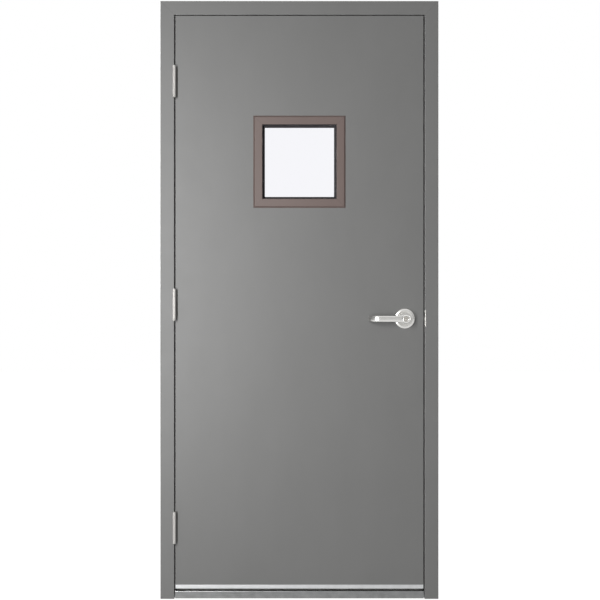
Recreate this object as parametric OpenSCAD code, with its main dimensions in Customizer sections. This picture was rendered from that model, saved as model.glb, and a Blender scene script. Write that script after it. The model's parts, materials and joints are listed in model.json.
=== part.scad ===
// Hollow metal door with a vision lite and a key-in-lever lock, hung in its steel frame.
// Millimetres. X = 0 is the middle of the opening and Z = 0 the floor. The pieces are drawn
// with Y = 0 on the frame's front face and the wall towards +Y, and the finished part is moved
// so that Y = 0 is the middle of the frame's depth. The hinges are on the left and the door
// swings towards -Y.

/* [Opening] */
// Width between the jambs
opening_w = 914.4; // [762:0.1:1066.8]
// Height from the floor to the head
opening_h = 2133.6; // [1981.2:0.1:2438.4]
// Running gap round the top and sides of the door
edge_gap = 3.2; // [2.6:0.1:4]

/* [Frame] */
// Face width of the jambs and the head
face_w = 50.8; // [44:0.1:76.2]
// Depth of the frame through the wall
frame_depth = 146; // [135:0.5:190]
// Thickness of the frame sheet
frame_t = 1.5; // [1.2:0.1:1.9]
// Depth of the rabbets, one of which the door closes into
rabbet = 49.2; // [47.8:0.1:52]
// Height of the stop above the rabbets
stop_h = 15.9; // [14:0.1:19]
// Length of the returns at the wall
return_w = 12.7; // [8:0.1:16]
// Inside radius of a press-brake bend
bend_r = 0.9; // [0.5:0.1:1.5]
// Thickness of the reinforcement plates behind the hinges
reinforcement_t = 4.8; // [3.4:0.1:5]
// Thickness of the anchor clips
anchor_t = 1.5; // [1.2:0.1:3]
// Width of an anchor clip
anchor_w = 38; // [30:0.5:50]
// Distance of the outer wall anchors from the floor and from the head
anchor_inset = 406; // [380:1:450]
// Height of the middle wall anchor above the middle of the opening
anchor_rise = 110; // [80:1:140]
// Distance of the anchor clips behind the opening's edge
anchor_in = 18; // [16:0.5:19]
// Set-back of the anchor clips' legs from the frame's edge
anchor_short = 8; // [4:0.5:12]
// Radius of the anchor clips' screw holes
anchor_hole_r = 4; // [2.5:0.1:5]
// Radius of a silencer's head
silencer_r = 5.5; // [4:0.1:6]
// Distance of the middle silencer below the lock
silencer_drop = 68.6; // [60:0.1:90]

/* [Door] */
// Thickness of the door
door_t = 44.45; // [43:0.05:45.5]
// Set-back of the door's front face from the frame's front face
door_setback = 1.6; // [1:0.1:2.4]
// Thickness of the door skins
skin_t = 1.2; // [0.9:0.1:1.5]
// Thickness of the stiffeners inside the door
stiffener_t = 0.8; // [0.7:0.1:1.2]
// Spacing of the stiffeners
stiffener_pitch = 152.4; // [150:0.1:156]
// Reach of the lock's reinforcement past the latch's faceplate
lock_lap = 42; // [35:0.5:60]
// Thickness of the channels that close and line the door
channel_t = 1.5; // [1.2:0.1:1.9]
// Depth of those channels' flanges
channel_w = 25; // [20:0.5:30]

/* [Hinges] */
// Height of a hinge
hinge_h = 114.3; // [101.6:0.1:127]
// Width of a hinge opened flat
hinge_w = 114.3; // [112:0.1:116]
// Thickness of a hinge leaf
leaf_t = 3.4; // [3:0.1:3.8]
// Diameter of the knuckles
knuckle_d = 13.2; // [12.4:0.1:14.5]
// Diameter of the hinge pin
pin_d = 6.35; // [5.5:0.05:7]
// Distance of a leaf's inner edge from the back of the door
hinge_backset = 6.35; // [5.5:0.05:8]
// Distance from the head to the middle of the top hinge
hinge_from_head = 246; // [220:0.5:280]
// Distance from the floor to the middle of the bottom hinge
hinge_from_floor = 263; // [240:0.5:300]

/* [Vision lite] */
// Side of the square cut-out in the door
lite_cut = 304.8; // [254:0.1:330]
// Side of the glass that shows
lite_view = 254; // [200:0.1:256]
// Distance from the top of the door to the cut-out
lite_from_top = 381; // [330:0.5:420]
// Lap of the lite frame over the door's face beyond the cut-out
lite_lap = 15.9; // [12:0.1:19]
// Height of the lite frame above the door's face
lite_proud = 6.4; // [5:0.1:8]
// Width of the ledge that holds the glass
lite_ledge = 8.6; // [7:0.1:10]
// Thickness of the lite frame sheet
lite_t = 1.2; // [0.9:0.1:1.5]
// Thickness of the glass
glass_t = 6.35; // [5:0.05:8]
// Thickness of the glazing tape
tape_t = 1.6; // [1:0.1:2.4]
// Gap between the glass's edge and the cut-out
glass_gap = 6.4; // [6.4:0.1:8]

/* [Lever lock] */
// Height of the lock above the floor
lock_z = 1023.9; // [965:0.1:1060]
// Distance of the lock's axis from the edge of the door
backset = 69.85; // [68:0.05:80]
// Diameter of the lock's cross bore
cross_bore = 54; // [52:0.1:56]
// Diameter of a rose
rose_d = 76.2; // [70:0.1:82]
// Height of a rose
rose_h = 9.5; // [8:0.1:12]
// Reach of a lever from the lock's axis
lever_reach = 135; // [115:0.5:140]
// Height of a lever's bar
lever_h = 22.3; // [18:0.1:24]
// Thickness of a lever's bar
lever_t = 11; // [9:0.1:13]
// Distance of a lever's front face from the door
lever_out = 66; // [60:0.5:72]
// Radius of the curve that returns a lever to the door
lever_curve = 35; // [26:0.5:36]
// Gap between a lever's tip and the door
tip_gap = 13; // [10:0.5:16]
// Diameter of the key cylinder
cylinder_d = 17.5; // [16:0.1:19]
// Diameter of the key plug
plug_d = 12.7; // [11:0.1:13.5]
// Diameter of the lock's spindles
spindle_d = 19; // [16:0.1:20]

/* [Latch and strike] */
// Throw of the latch bolt
latch_throw = 12.7; // [11:0.1:14]
// Height of the latch bolt
latch_h = 15; // [12:0.1:16]
// Thickness of the latch bolt
latch_w = 11; // [9:0.1:12]
// Height of the latch's faceplate
faceplate_h = 57.15; // [55:0.05:60]
// Width of the latch's faceplate
faceplate_w = 28.6; // [26:0.1:30]
// Thickness of the faceplate and of the strike
plate_t = 2.4; // [2:0.1:3]
// Height of the strike
strike_h = 123.8; // [115:0.1:130]
// Width of the strike
strike_w = 31.75; // [30:0.05:34]
// Height of the strike's lip
lip_h = 60; // [50:0.5:70]
// Reach of the strike's lip in front of the frame
lip_out = 3; // [2.8:0.1:4]

/* [Sill] */
// Height of the door shoe's underside above the floor
shoe_z = 37.3; // [34:0.1:42]
// Height of the door shoe's front strip
strip_h = 14.6; // [13:0.1:20]
// Height of the door shoe's rear leg
rear_leg_h = 38; // [32:0.5:50]
// Wall of the door shoe
shoe_t = 1.4; // [1:0.1:1.4]
// Height of the cavity above the door shoe's web
shoe_cavity = 5.2; // [4:0.1:6]
// Height of the threshold's rear edge
threshold_edge = 10.5; // [9:0.1:14]
// Height of the threshold's flat
threshold_h = 27; // [22:0.1:28]
// Wall of the threshold
threshold_t = 3.2; // [2.4:0.1:4]
// Set-back of the threshold from the frame's faces
threshold_setback = 8; // [4:0.5:12]

/* [Hidden] */
$fn = 48;
bend_steps = 3;
eps = 0.01;
through = 400;

// Clearances
fit = 0.2;
running = 0.05;
seat_gap = 0.3;
moving_gap = 0.5;

// Frame
half_w = opening_w / 2;
outer_half = half_w + face_w;
total_h = opening_h + face_w;
throat_0 = frame_t;
throat_1 = frame_depth - frame_t;

// Door
door_half = half_w - edge_gap;
door_top = opening_h - edge_gap;
door_z = shoe_z + shoe_t + shoe_cavity;
door_front = door_setback;
door_back = door_setback + door_t;
door_mid = door_setback + door_t / 2;
inner_front = door_front + skin_t;
inner_back = door_back - skin_t;

// Hinges, with the pin's axis midway between jamb and door
pin_x = -half_w + edge_gap / 2;
leaf_len = hinge_w / 2;
pin_y = door_back - hinge_backset - leaf_len;
knuckle_r = knuckle_d / 2;
knuckle_len = hinge_h / 5;
hinge_zs = [
    hinge_from_floor,
    (hinge_from_floor + opening_h - hinge_from_head) / 2,
    opening_h - hinge_from_head
];
leaf_edge_y = pin_y + leaf_len;
notch_y = knuckle_r + moving_gap;
screw_r = 2.65;
screw_head_r = 5.5;
screw_len = 13;
// Screw holes of a leaf: depth behind the leaf's edge and height, as shares of the leaf
screw_rows = [-0.37, -0.13, 0.13, 0.37];
screw_edge_0 = 11;
screw_edge_1 = 25;
hinge_plate_len = hinge_h * 2.2;
hinge_plate_y0 = 4;
hinge_plate_y1 = leaf_edge_y + 2.3;

// Vision lite
lite_z = door_top - lite_from_top - lite_cut / 2;
cut_half = lite_cut / 2;
view_half = lite_view / 2;
lite_outer = cut_half + lite_lap;
lite_inner = view_half + lite_ledge;
tape_show = 1.5;
lite_bend_r = 0.6;
ledge_y = door_mid - glass_t / 2 - tape_t - lite_t;
glass_half = cut_half - glass_gap;
lite_screw_u = cut_half - glass_gap / 2;
lite_screw_r = 1.7;
lite_post_r = glass_gap / 2 - seat_gap;
lite_screw_at = lite_cut * 0.3;
lite_face_y = door_front - lite_proud;
lite_back_y = door_back + lite_proud;

// Lock
lock_x = door_half - backset;
rose_t = 1.2;
spindle_r = spindle_d / 2;
drum_r = cross_bore / 2 - 0.8;
collar_r = spindle_r + 6;
rose_dish = 1.2;
collar_h = rose_h - rose_dish - rose_t;
hub_r = spindle_r + 4.5;
hub_gap = 0.5;
cylinder_r = cylinder_d / 2;
plug_r = plug_d / 2;
lever_y = lever_out - lever_t / 2 - 2;
bolt_r = 2.5;
bolt_head_r = bolt_r + 1.6;
bolt_at = collar_r + bolt_head_r + 0.4;
button_r = 4;
faceplate_x = door_half - plate_t;
latch_gap = 0.35;
tube_r = 12.6;
tube_wall = 1.5;
tube_x0 = lock_x + drum_r + latch_gap;
bolt_x0 = tube_x0 + tube_wall + latch_throw + moving_gap;

// Strike
strike_z0 = lock_z - strike_h / 2;
strike_y0 = door_mid - strike_w / 2;
strike_x = half_w + plate_t;
window_h = latch_h + 8;
window_w = latch_w + 5;
strike_screw_z = strike_h / 2 - 9.5;
strike_screw_r = 2.2;
strike_screw_head_r = 4.4;
box_depth = 13;
box_t = 0.8;
box_x0 = strike_x + reinforcement_t - 2;
strike_plate_t = reinforcement_t - 2;

// Sill
shoe_clear = 0.1;
shoe_y0 = door_front - shoe_clear - shoe_t;
shoe_y1 = door_back + shoe_clear + shoe_t;
shoe_half = door_half - 1.5;
seal_gap = 0.5;
seal_bottom = threshold_h + seal_gap;
seal_ys = [door_mid - 10, door_mid + 10];
seal_slot = 2.8;
seal_lap = 6;
seal_base_t = 1.8;
seal_barb_h = 2.6;
fin_root = 2;
fin_tip = 0.9;
fin_ys = [shoe_y1 - 9.5, shoe_y1 - 4];
threshold_gap = 2.3;
threshold_half = half_w - threshold_gap;
sill_y0 = threshold_setback;
sill_y1 = frame_depth - threshold_setback;
sill_slope = 18;
sill_nose = 2.4;
sill_hole_r = 2.75;
sill_hole_x = half_w * 0.88;
sill_hole_in = 24;

// Folded sheet. The path follows one face of the sheet, the sheet lies to the left of it,
// and every corner becomes a bend whose two faces are arcs round one centre.
function unit(v) = v / norm(v);
function left_of(d) = [-d[1], d[0]];
function turned(v, a) = [v[0] * cos(a) - v[1] * sin(a), v[0] * sin(a) + v[1] * cos(a)];
function turn_angle(a, b) = atan2(a[0] * b[1] - a[1] * b[0], a[0] * b[0] + a[1] * b[1]);

function bend_arc(p0, p1, p2, near_r_left, near_r_right, far_face) =
    let (
        d0 = unit(p1 - p0),
        angle = turn_angle(d0, unit(p2 - p1)),
        side = sign(angle),
        near_r = side > 0 ? near_r_left : near_r_right,
        far_r = side > 0 ? near_r_right : near_r_left,
        inward = side * left_of(d0),
        centre = p1 - d0 * near_r * tan(abs(angle) / 2) + inward * near_r
    )
    [for (k = [0:bend_steps])
        centre - turned(inward, angle * k / bend_steps) * (far_face ? far_r : near_r)];

function sheet_face(path, t, r, far_face) =
    let (
        last = len(path) - 1,
        offset_0 = left_of(unit(path[1] - path[0])) * (far_face ? t : 0),
        offset_1 = left_of(unit(path[last] - path[last - 1])) * (far_face ? t : 0)
    )
    [
        path[0] + offset_0,
        for (i = [1:last - 1])
            each bend_arc(path[i - 1], path[i], path[i + 1], r + t, r, far_face),
        path[last] + offset_1
    ];

function reversed(points) = [for (i = [len(points) - 1:-1:0]) points[i]];

module folded(path, t, r = bend_r) {
    polygon(concat(
        sheet_face(path, t, r, false),
        reversed(sheet_face(path, t, r, true))
    ));
}

// A drawing in (x, y) extruded along another axis
module along_x(length) {
    rotate([90, 0, 90]) linear_extrude(length, center = true) children();
}

module along_y(y0, y1) {
    translate([0, y1, 0]) rotate([90, 0, 0]) linear_extrude(y1 - y0) children();
}

module box(p0, p1) {
    translate(p0) cube(p1 - p0);
}

module rod_x(x0, x1, r) {
    translate([x0, 0, 0]) rotate([0, 90, 0]) cylinder(h = x1 - x0, r = r);
}

module rod_y(y0, y1, r) {
    translate([0, y1, 0]) rotate([90, 0, 0]) cylinder(h = y1 - y0, r = r);
}

// A hole along +X from the face at x = 0, with a 90 degree countersink
module countersunk_hole(length, r, head_r) {
    rotate([0, 90, 0]) cylinder(h = head_r - r, r1 = head_r, r2 = r);
    rod_x(-1, length, r);
}

// The screw for that hole, with its head just under the face
module countersunk_screw(length, r, head_r) {
    top_r = head_r - fit - running;
    translate([fit, 0, 0]) rotate([0, 90, 0]) cylinder(h = top_r - r, r1 = top_r, r2 = r);
    rod_x(fit + (top_r - r) / 2, length, r);
}

module rounded_bar(w, h, r) {
    square([w - 2 * r, h], center = true);
    square([w, h - 2 * r], center = true);
    for (sx = [-1, 1], sy = [-1, 1])
        translate([sx * (w / 2 - r), sy * (h / 2 - r)]) circle(r);
}

// Frame section: x is the distance from the opening's edge, y the depth
function frame_path() = [
    [face_w, frame_depth - return_w],
    [face_w, frame_depth],
    [0, frame_depth],
    [0, frame_depth - rabbet],
    [-stop_h, frame_depth - rabbet],
    [-stop_h, rabbet],
    [0, rabbet],
    [0, 0],
    [face_w, 0],
    [face_w, return_w]
];

// Everything above the mitres of the head
module head_zone() {
    past = face_w + 10;
    along_y(-1, frame_depth + 1)
        polygon([
            [0, opening_h - half_w],
            [half_w + past, opening_h + past],
            [-half_w - past, opening_h + past]
        ]);
}

module jamb_bar() {
    difference() {
        translate([half_w, 0, 0]) linear_extrude(total_h) folded(frame_path(), frame_t);
        head_zone();
    }
}

// The leaves lie in windows of the rabbet, flush with it, on the plates behind
recess = leaf_t + fit;

module hinge_jamb() {
    color("#7c7c7c")
    mirror([1, 0, 0])
    difference() {
        jamb_bar();
        for (z = hinge_zs)
            box([half_w - 1, -1, z - hinge_h / 2 - fit],
                [half_w + recess, leaf_edge_y + fit, z + hinge_h / 2 + fit]);
    }
}

silencer_x = half_w - stop_h / 2;
silencer_zs = [hinge_zs[0], lock_z - silencer_drop, hinge_zs[2]];
silencer_stem_r = 3;

module strike_jamb() {
    color("#7c7c7c")
    difference() {
        jamb_bar();
        box([half_w - 1, strike_y0 - fit, strike_z0 - fit],
            [strike_x + fit, strike_y0 + strike_w + fit, strike_z0 + strike_h + fit]);
        box([half_w - 1, -1, lock_z - lip_h / 2 - fit],
            [strike_x + fit, strike_y0, lock_z + lip_h / 2 + fit]);
        for (z = silencer_zs)
            translate([silencer_x, 0, z]) rod_y(rabbet - 1, rabbet + 5, silencer_stem_r + fit / 2);
    }
}

module frame_head() {
    color("#7c7c7c")
    intersection() {
        translate([0, 0, opening_h]) rotate([0, -90, 0])
            linear_extrude(2 * outer_half, center = true) folded(frame_path(), frame_t);
        head_zone();
    }
}

// Plate behind a hinge leaf, with an end pad each side of the leaf that meets the sheet.
// x = 0 is the surface that the leaf is flush with, and x grows into the jamb or door.
module hinge_plate(sheet_t, x0, y0, y1, screw_y) {
    pad_gap = frame_t + 1.5;
    difference() {
        union() {
            box([x0, y0, -hinge_plate_len / 2],
                [x0 + reinforcement_t, y1, hinge_plate_len / 2]);
            for (side = [-1, 1])
                translate([0, 0, side * (hinge_h / 2 + hinge_plate_len / 2 + pad_gap) / 2])
                    box([sheet_t, y0, -(hinge_plate_len - hinge_h) / 4 + pad_gap / 2],
                        [x0 + eps, y1, (hinge_plate_len - hinge_h) / 4 - pad_gap / 2]);
        }
        leaf_screw_places(screw_y) rod_x(0, 20, screw_r + running);
    }
}

// Screw places of a leaf, where edge_y is the leaf's inner edge
module leaf_screw_places(edge_y) {
    for (i = [0:3])
        translate([0, edge_y - (i % 2 == 0 ? screw_edge_0 : screw_edge_1),
                   screw_rows[i] * hinge_h])
            children();
}

module frame_hinge_plates() {
    color("#8a8a86")
    for (z = hinge_zs)
        translate([-half_w, 0, z]) mirror([1, 0, 0])
            hinge_plate(frame_t, leaf_t, hinge_plate_y0, hinge_plate_y1, leaf_edge_y);
}

module strike_reinforcement() {
    plate_half = strike_h / 2 + 13;
    color("#8a8a86")
    translate([0, 0, lock_z])
    difference() {
        union() {
            box([strike_x, hinge_plate_y0, -plate_half],
                [strike_x + strike_plate_t, rabbet - frame_t - 3, plate_half]);
            for (side = [-1, 1])
                translate([0, 0, side * (strike_h / 2 + 7)])
                    box([half_w + frame_t, hinge_plate_y0, -6],
                        [strike_x + eps, rabbet - frame_t - 3, 6]);
        }
        box([strike_x - 1, door_mid - window_w / 2, -window_h / 2],
            [strike_x + 9, door_mid + window_w / 2, window_h / 2]);
        for (side = [-1, 1])
            translate([strike_x - 1, door_mid, side * strike_screw_z])
                rod_x(0, 12, strike_screw_r + running);
    }
}

// Wall anchor: a strap folded into a U across the throat, screwed to the stud behind it
anchor_x = half_w + anchor_in;
anchor_hole_y = [frame_depth * 0.32, frame_depth * 0.68];
anchor_zs = [anchor_inset, opening_h / 2 + anchor_rise, opening_h - anchor_inset];

module wall_anchor() {
    leg = face_w - anchor_in - anchor_short;
    difference() {
        linear_extrude(anchor_w, center = true)
            folded([
                [anchor_x + leg, throat_1],
                [anchor_x, throat_1],
                [anchor_x, throat_0],
                [anchor_x + leg, throat_0]
            ], anchor_t);
        for (y = anchor_hole_y)
            translate([anchor_x - 5, y, 0]) rod_x(0, 10, anchor_hole_r);
    }
}

module strike_jamb_anchors() {
    color("#a9aaa4")
    for (z = anchor_zs) translate([0, 0, z]) wall_anchor();
}

module hinge_jamb_anchors() {
    color("#a9aaa4")
    for (z = anchor_zs) translate([0, 0, z]) mirror([1, 0, 0]) wall_anchor();
}

// Floor anchor: the same strap lying on the floor inside the foot of a jamb
module floor_anchor() {
    x0 = half_w + 6;
    difference() {
        translate([x0 + anchor_w / 2, 0, 0]) along_x(anchor_w)
            folded([
                [throat_0, anchor_w],
                [throat_0, 0],
                [throat_1, 0],
                [throat_1, anchor_w]
            ], anchor_t);
        for (y = anchor_hole_y)
            translate([x0 + anchor_w / 2, y, -1]) cylinder(h = 10, r = anchor_hole_r);
    }
}

module floor_anchors() {
    color("#a9aaa4") {
        floor_anchor();
        mirror([1, 0, 0]) floor_anchor();
    }
}

// Threshold: a hollow saddle with an upright front, flat under the door, fluted behind it
// and coped round the jamb stops
flute_pitch = 7;
flute_w = 2.4;
flute_h = 0.9;
flute_start = 44;
flute_end = 34;
web_gap = 24;

module threshold_section() {
    wall = threshold_t;
    slope_y1 = sill_y1 - sill_slope;
    mid_y = (sill_y0 + sill_y1) / 2;
    ceiling = threshold_h - wall;
    eave = threshold_edge - 0.6 * wall;
    difference() {
        polygon([
            [sill_y0, 0],
            [sill_y0, threshold_h - sill_nose],
            [sill_y0 + 0.3 * sill_nose, threshold_h - 0.3 * sill_nose],
            [sill_y0 + sill_nose, threshold_h],
            for (y = [sill_y0 + flute_start:flute_pitch:sill_y1 - flute_end])
                each [[y, threshold_h], [y, threshold_h + flute_h],
                      [y + flute_w, threshold_h + flute_h], [y + flute_w, threshold_h]],
            [slope_y1, threshold_h],
            [sill_y1 - 1.2, threshold_edge],
            [sill_y1, threshold_edge - 1.2],
            [sill_y1, 0]
        ]);
        polygon([
            [sill_y0 + wall, -1], [sill_y0 + wall, ceiling],
            [mid_y - web_gap - wall, ceiling], [mid_y - web_gap - wall, -1]
        ]);
        polygon([
            [mid_y - web_gap, -1], [mid_y - web_gap, ceiling],
            [mid_y + web_gap, ceiling], [mid_y + web_gap, -1]
        ]);
        polygon([
            [mid_y + web_gap + wall, -1], [mid_y + web_gap + wall, ceiling],
            [slope_y1 - 0.4 * wall, ceiling], [sill_y1 - wall, eave], [sill_y1 - wall, -1]
        ]);
    }
}

module threshold() {
    color("#8f908f")
    difference() {
        along_x(2 * threshold_half) threshold_section();
        for (side = [-1, 1])
            box([side > 0 ? half_w - stop_h - threshold_gap : -half_w - 1,
                 rabbet - threshold_gap, -1],
                [side > 0 ? half_w + 1 : -half_w + stop_h + threshold_gap,
                 frame_depth - rabbet + threshold_gap, threshold_h + 5]);
        for (x = [-sill_hole_x, sill_hole_x], y = [sill_y0 + sill_hole_in, sill_y1 - sill_hole_in])
            translate([x, y, 0]) {
                translate([0, 0, -1]) cylinder(h = through / 4, r = sill_hole_r);
                translate([0, 0, threshold_h - 2])
                    cylinder(h = 6, r1 = sill_hole_r, r2 = sill_hole_r + 6);
            }
    }
}

// Strike: a plate flush in the rabbet whose lip curls round the frame's front corner
module strike_plate() {
    color("#c9c7c2")
    translate([0, 0, lock_z])
    difference() {
        union() {
            box([half_w, strike_y0, -strike_h / 2], [strike_x, strike_y0 + strike_w, strike_h / 2]);
            linear_extrude(lip_h, center = true)
                folded([
                    [half_w, door_mid - window_w / 2 - 2],
                    [half_w, -lip_out],
                    [strike_x + 3, -lip_out]
                ], plate_t, 0.5);
        }
        box([half_w - 1, door_mid - window_w / 2, -window_h / 2],
            [strike_x + 1, door_mid + window_w / 2, window_h / 2]);
        for (side = [-1, 1])
            translate([half_w, door_mid, side * strike_screw_z])
                countersunk_hole(plate_t + 1, strike_screw_r + running, strike_screw_head_r);
    }
}

module strike_screws() {
    color("#b9b7b2")
    for (side = [-1, 1])
        translate([half_w, door_mid, lock_z + side * strike_screw_z])
            countersunk_screw(9, strike_screw_r, strike_screw_head_r);
}

// Cup behind the strike that keeps the latch's pocket clear
module strike_box() {
    box_y = window_w / 2 + 3;
    box_z = window_h / 2 + 3;
    color("#8a8a86")
    translate([0, door_mid, lock_z])
    difference() {
        box([box_x0, -box_y, -box_z], [box_x0 + box_depth, box_y, box_z]);
        box([box_x0 - 1, -box_y + box_t, -box_z + box_t],
            [box_x0 + box_depth - box_t, box_y - box_t, box_z - box_t]);
    }
}

// Silencers: rubber buttons pressed through the stop, which the closed door rests near
module silencers() {
    head = rabbet - door_back - seat_gap;
    color("#6b6b6b")
    for (z = silencer_zs)
        translate([silencer_x, rabbet, z]) rotate([90, 0, 0])
            rotate_extrude()
                polygon([
                    [0, head], [silencer_r - 1.5, head], [silencer_r, head - 1], [silencer_r, 0],
                    [silencer_stem_r, 0], [silencer_stem_r, -frame_t],
                    [silencer_stem_r + 1, -frame_t], [silencer_stem_r - 1, -frame_t - 4],
                    [0, -frame_t - 4]
                ]);
}

// Hinge leaf round the pin's axis at x = y = 0. side is -1 on the frame and 1 on the door,
// and ranks lists the knuckles that the leaf carries, counted from the bottom.
module hinge_leaf(side, ranks) {
    x0 = edge_gap / 2;
    x1 = x0 + leaf_t;
    difference() {
        union() {
            mirror([side < 0 ? 1 : 0, 0, 0])
                box([x0, notch_y, -hinge_h / 2], [x1, leaf_len, hinge_h / 2]);
            for (k = ranks) {
                z0 = -hinge_h / 2 + k * knuckle_len + (k > 0 ? seat_gap / 2 : 0);
                z1 = -hinge_h / 2 + (k + 1) * knuckle_len - (k < 4 ? seat_gap / 2 : 0);
                translate([0, 0, z0]) cylinder(h = z1 - z0, r = knuckle_r);
                mirror([side < 0 ? 1 : 0, 0, 0])
                    box([x0, 0, z0], [x1, notch_y + eps, z1]);
            }
        }
        cylinder(h = 2 * hinge_h, r = pin_d / 2 + running, center = true);
        mirror([side < 0 ? 1 : 0, 0, 0])
            translate([x0, 0, 0]) leaf_screw_places(leaf_len)
                countersunk_hole(leaf_t + 1, screw_r + running, screw_head_r);
    }
}

module at_hinge(i) {
    translate([pin_x, pin_y, hinge_zs[i]]) children();
}

module frame_leaf(i) {
    color("#c9c7c2") at_hinge(i) hinge_leaf(-1, [0, 2, 4]);
}

module door_leaf(i) {
    color("#c9c7c2") at_hinge(i) hinge_leaf(1, [1, 3]);
}

plug_stem = 5;
tip_h = 1.4;

// Hinge pin: a round bar with a button head on the top knuckle
module hinge_pin(i) {
    color("#c9c7c2")
    at_hinge(i) rotate_extrude()
        polygon([
            [0, -hinge_h / 2 + plug_stem + 1], [pin_d / 2, -hinge_h / 2 + plug_stem + 1],
            [pin_d / 2, hinge_h / 2], [knuckle_r - 1, hinge_h / 2],
            [knuckle_r - 1, hinge_h / 2 + tip_h / 2], [knuckle_r - 2.4, hinge_h / 2 + tip_h],
            [0, hinge_h / 2 + tip_h]
        ]);
}

module hinge_end_plugs() {
    color("#c9c7c2")
    for (i = [0:2])
        at_hinge(i) rotate_extrude()
            polygon([
                [0, -hinge_h / 2 - tip_h], [knuckle_r - 2.4, -hinge_h / 2 - tip_h],
                [knuckle_r - 1, -hinge_h / 2 - tip_h / 2], [knuckle_r - 1, -hinge_h / 2],
                [pin_d / 2, -hinge_h / 2], [pin_d / 2, -hinge_h / 2 + plug_stem],
                [0, -hinge_h / 2 + plug_stem]
            ]);
}

// Screws of the leaves on one side, heads flush with the leaf
module leaf_screws(side) {
    for (i = [0:2])
        at_hinge(i) mirror([side < 0 ? 1 : 0, 0, 0])
            translate([edge_gap / 2, 0, 0]) leaf_screw_places(leaf_len)
                countersunk_screw(screw_len, screw_r, screw_head_r);
}

module frame_leaf_screws() {
    color("#b9b7b2") leaf_screws(-1);
}

module door_leaf_screws() {
    color("#b9b7b2") leaf_screws(1);
}

// Door skins: two pans whose edges meet at the middle of the door's thickness
seam = 0.15;

module door_cuts() {
    translate([0, 0, lite_z])
        box([-cut_half, -1, -cut_half], [cut_half, door_back + 1, cut_half]);
    translate([lock_x, 0, lock_z]) rod_y(-1, door_back + 1, cross_bore / 2);
    for (z = hinge_zs)
        box([-door_half - 1, -1, z - hinge_h / 2 - fit],
            [-door_half + leaf_t + fit, leaf_edge_y + fit, z + hinge_h / 2 + fit]);
    box([faceplate_x - fit, door_mid - faceplate_w / 2 - fit, lock_z - faceplate_h / 2 - fit],
        [door_half + 1, door_mid + faceplate_w / 2 + fit, lock_z + faceplate_h / 2 + fit]);
}

module door_front_skin() {
    color("#7c7c7c")
    difference() {
        translate([0, 0, door_z]) linear_extrude(door_top - door_z)
            folded([
                [-door_half, door_mid - seam],
                [-door_half, door_front],
                [door_half, door_front],
                [door_half, door_mid - seam]
            ], skin_t);
        door_cuts();
    }
}

module door_back_skin() {
    color("#7c7c7c")
    difference() {
        translate([0, 0, door_z]) linear_extrude(door_top - door_z)
            folded([
                [door_half, door_mid + seam],
                [door_half, door_back],
                [-door_half, door_back],
                [-door_half, door_mid + seam]
            ], skin_t);
        door_cuts();
        shoe_screw_places() rod_y(door_back - 3, door_back + 3, shoe_screw_r + running);
    }
}

// Channels that close the top and bottom edges, between the skins' bends
channel_len = 2 * (door_half - skin_t - bend_r);

module edge_channel(z_web, z_flange) {
    folded(z_web > z_flange
        ? [[inner_back, z_flange], [inner_back, z_web], [inner_front, z_web],
           [inner_front, z_flange]]
        : [[inner_front, z_flange], [inner_front, z_web], [inner_back, z_web],
           [inner_back, z_flange]],
        channel_t);
}

module door_top_channel() {
    color("#7c7c7c")
    along_x(channel_len) edge_channel(door_top, door_top - channel_w);
}

module door_bottom_channel() {
    color("#7c7c7c")
    difference() {
        along_x(channel_len) edge_channel(door_z, door_z + channel_w);
        shoe_screw_places() rod_y(inner_back - 3, inner_back + 1, shoe_screw_r + running);
    }
}

// Stiffeners: hat sections that stand between the skins and stop short of the lite
hat_crown = 15;
hat_foot = 25;
hat_flange = 18;
hat_half = hat_foot + hat_flange;
box_w = 95;

module hat(z0, z1) {
    translate([0, 0, z0]) linear_extrude(z1 - z0)
        folded([
            [-hat_half, inner_front],
            [-hat_foot, inner_front],
            [-hat_crown, inner_back - stiffener_t],
            [hat_crown, inner_back - stiffener_t],
            [hat_foot, inner_front],
            [hat_half, inner_front]
        ], stiffener_t);
}

module door_stiffeners() {
    z0 = door_z + channel_w + 3;
    z1 = door_top - channel_w - 3;
    lite_clear = cut_half + channel_w + 3;
    side = floor((door_half - box_w - hat_half - 8) / stiffener_pitch);
    color("#9a9b97")
    for (i = [-side:side])
        translate([i * stiffener_pitch, 0, 0])
            if (abs(i) * stiffener_pitch - hat_half < lite_clear) {
                hat(z0, lite_z - lite_clear);
                hat(lite_z + lite_clear, z1);
            } else hat(z0, z1);
}

// Channels that line the lite's cut-out
module lite_channel(length) {
    linear_extrude(length, center = true)
        folded([
            [cut_half + channel_w, inner_back],
            [cut_half, inner_back],
            [cut_half, inner_front],
            [cut_half + channel_w, inner_front]
        ], channel_t);
}

module lite_channels() {
    color("#9a9b97")
    translate([0, 0, lite_z])
    for (i = [0:3])
        rotate([0, 90 * i, 0])
            lite_channel(i % 2 == 0 ? lite_cut : lite_cut + 2 * channel_w);
}

module door_hinge_plates() {
    color("#8a8a86")
    for (z = hinge_zs)
        translate([-door_half, 0, z])
            hinge_plate(skin_t, leaf_t, hinge_plate_y0, hinge_plate_y1, leaf_edge_y);
}

// Channel round the lock, behind the latch's faceplate
module lock_reinforcement() {
    half = faceplate_h / 2 + lock_lap;
    color("#8a8a86")
    difference() {
        translate([0, 0, lock_z]) linear_extrude(2 * half, center = true)
            folded([
                [door_half - box_w, inner_front],
                [faceplate_x, inner_front],
                [faceplate_x, inner_back],
                [door_half - box_w, inner_back]
            ], channel_t);
        translate([lock_x, 0, lock_z]) rod_y(-1, door_back + 1, cross_bore / 2);
        translate([0, door_mid, lock_z]) rod_x(door_half - 30, door_half + 1, tube_r + fit);
        for (side = [-1, 1])
            translate([faceplate_x - 4, door_mid, lock_z + side * faceplate_screw_z])
                rod_x(0, 6, faceplate_screw_r + running);
    }
}

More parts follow.
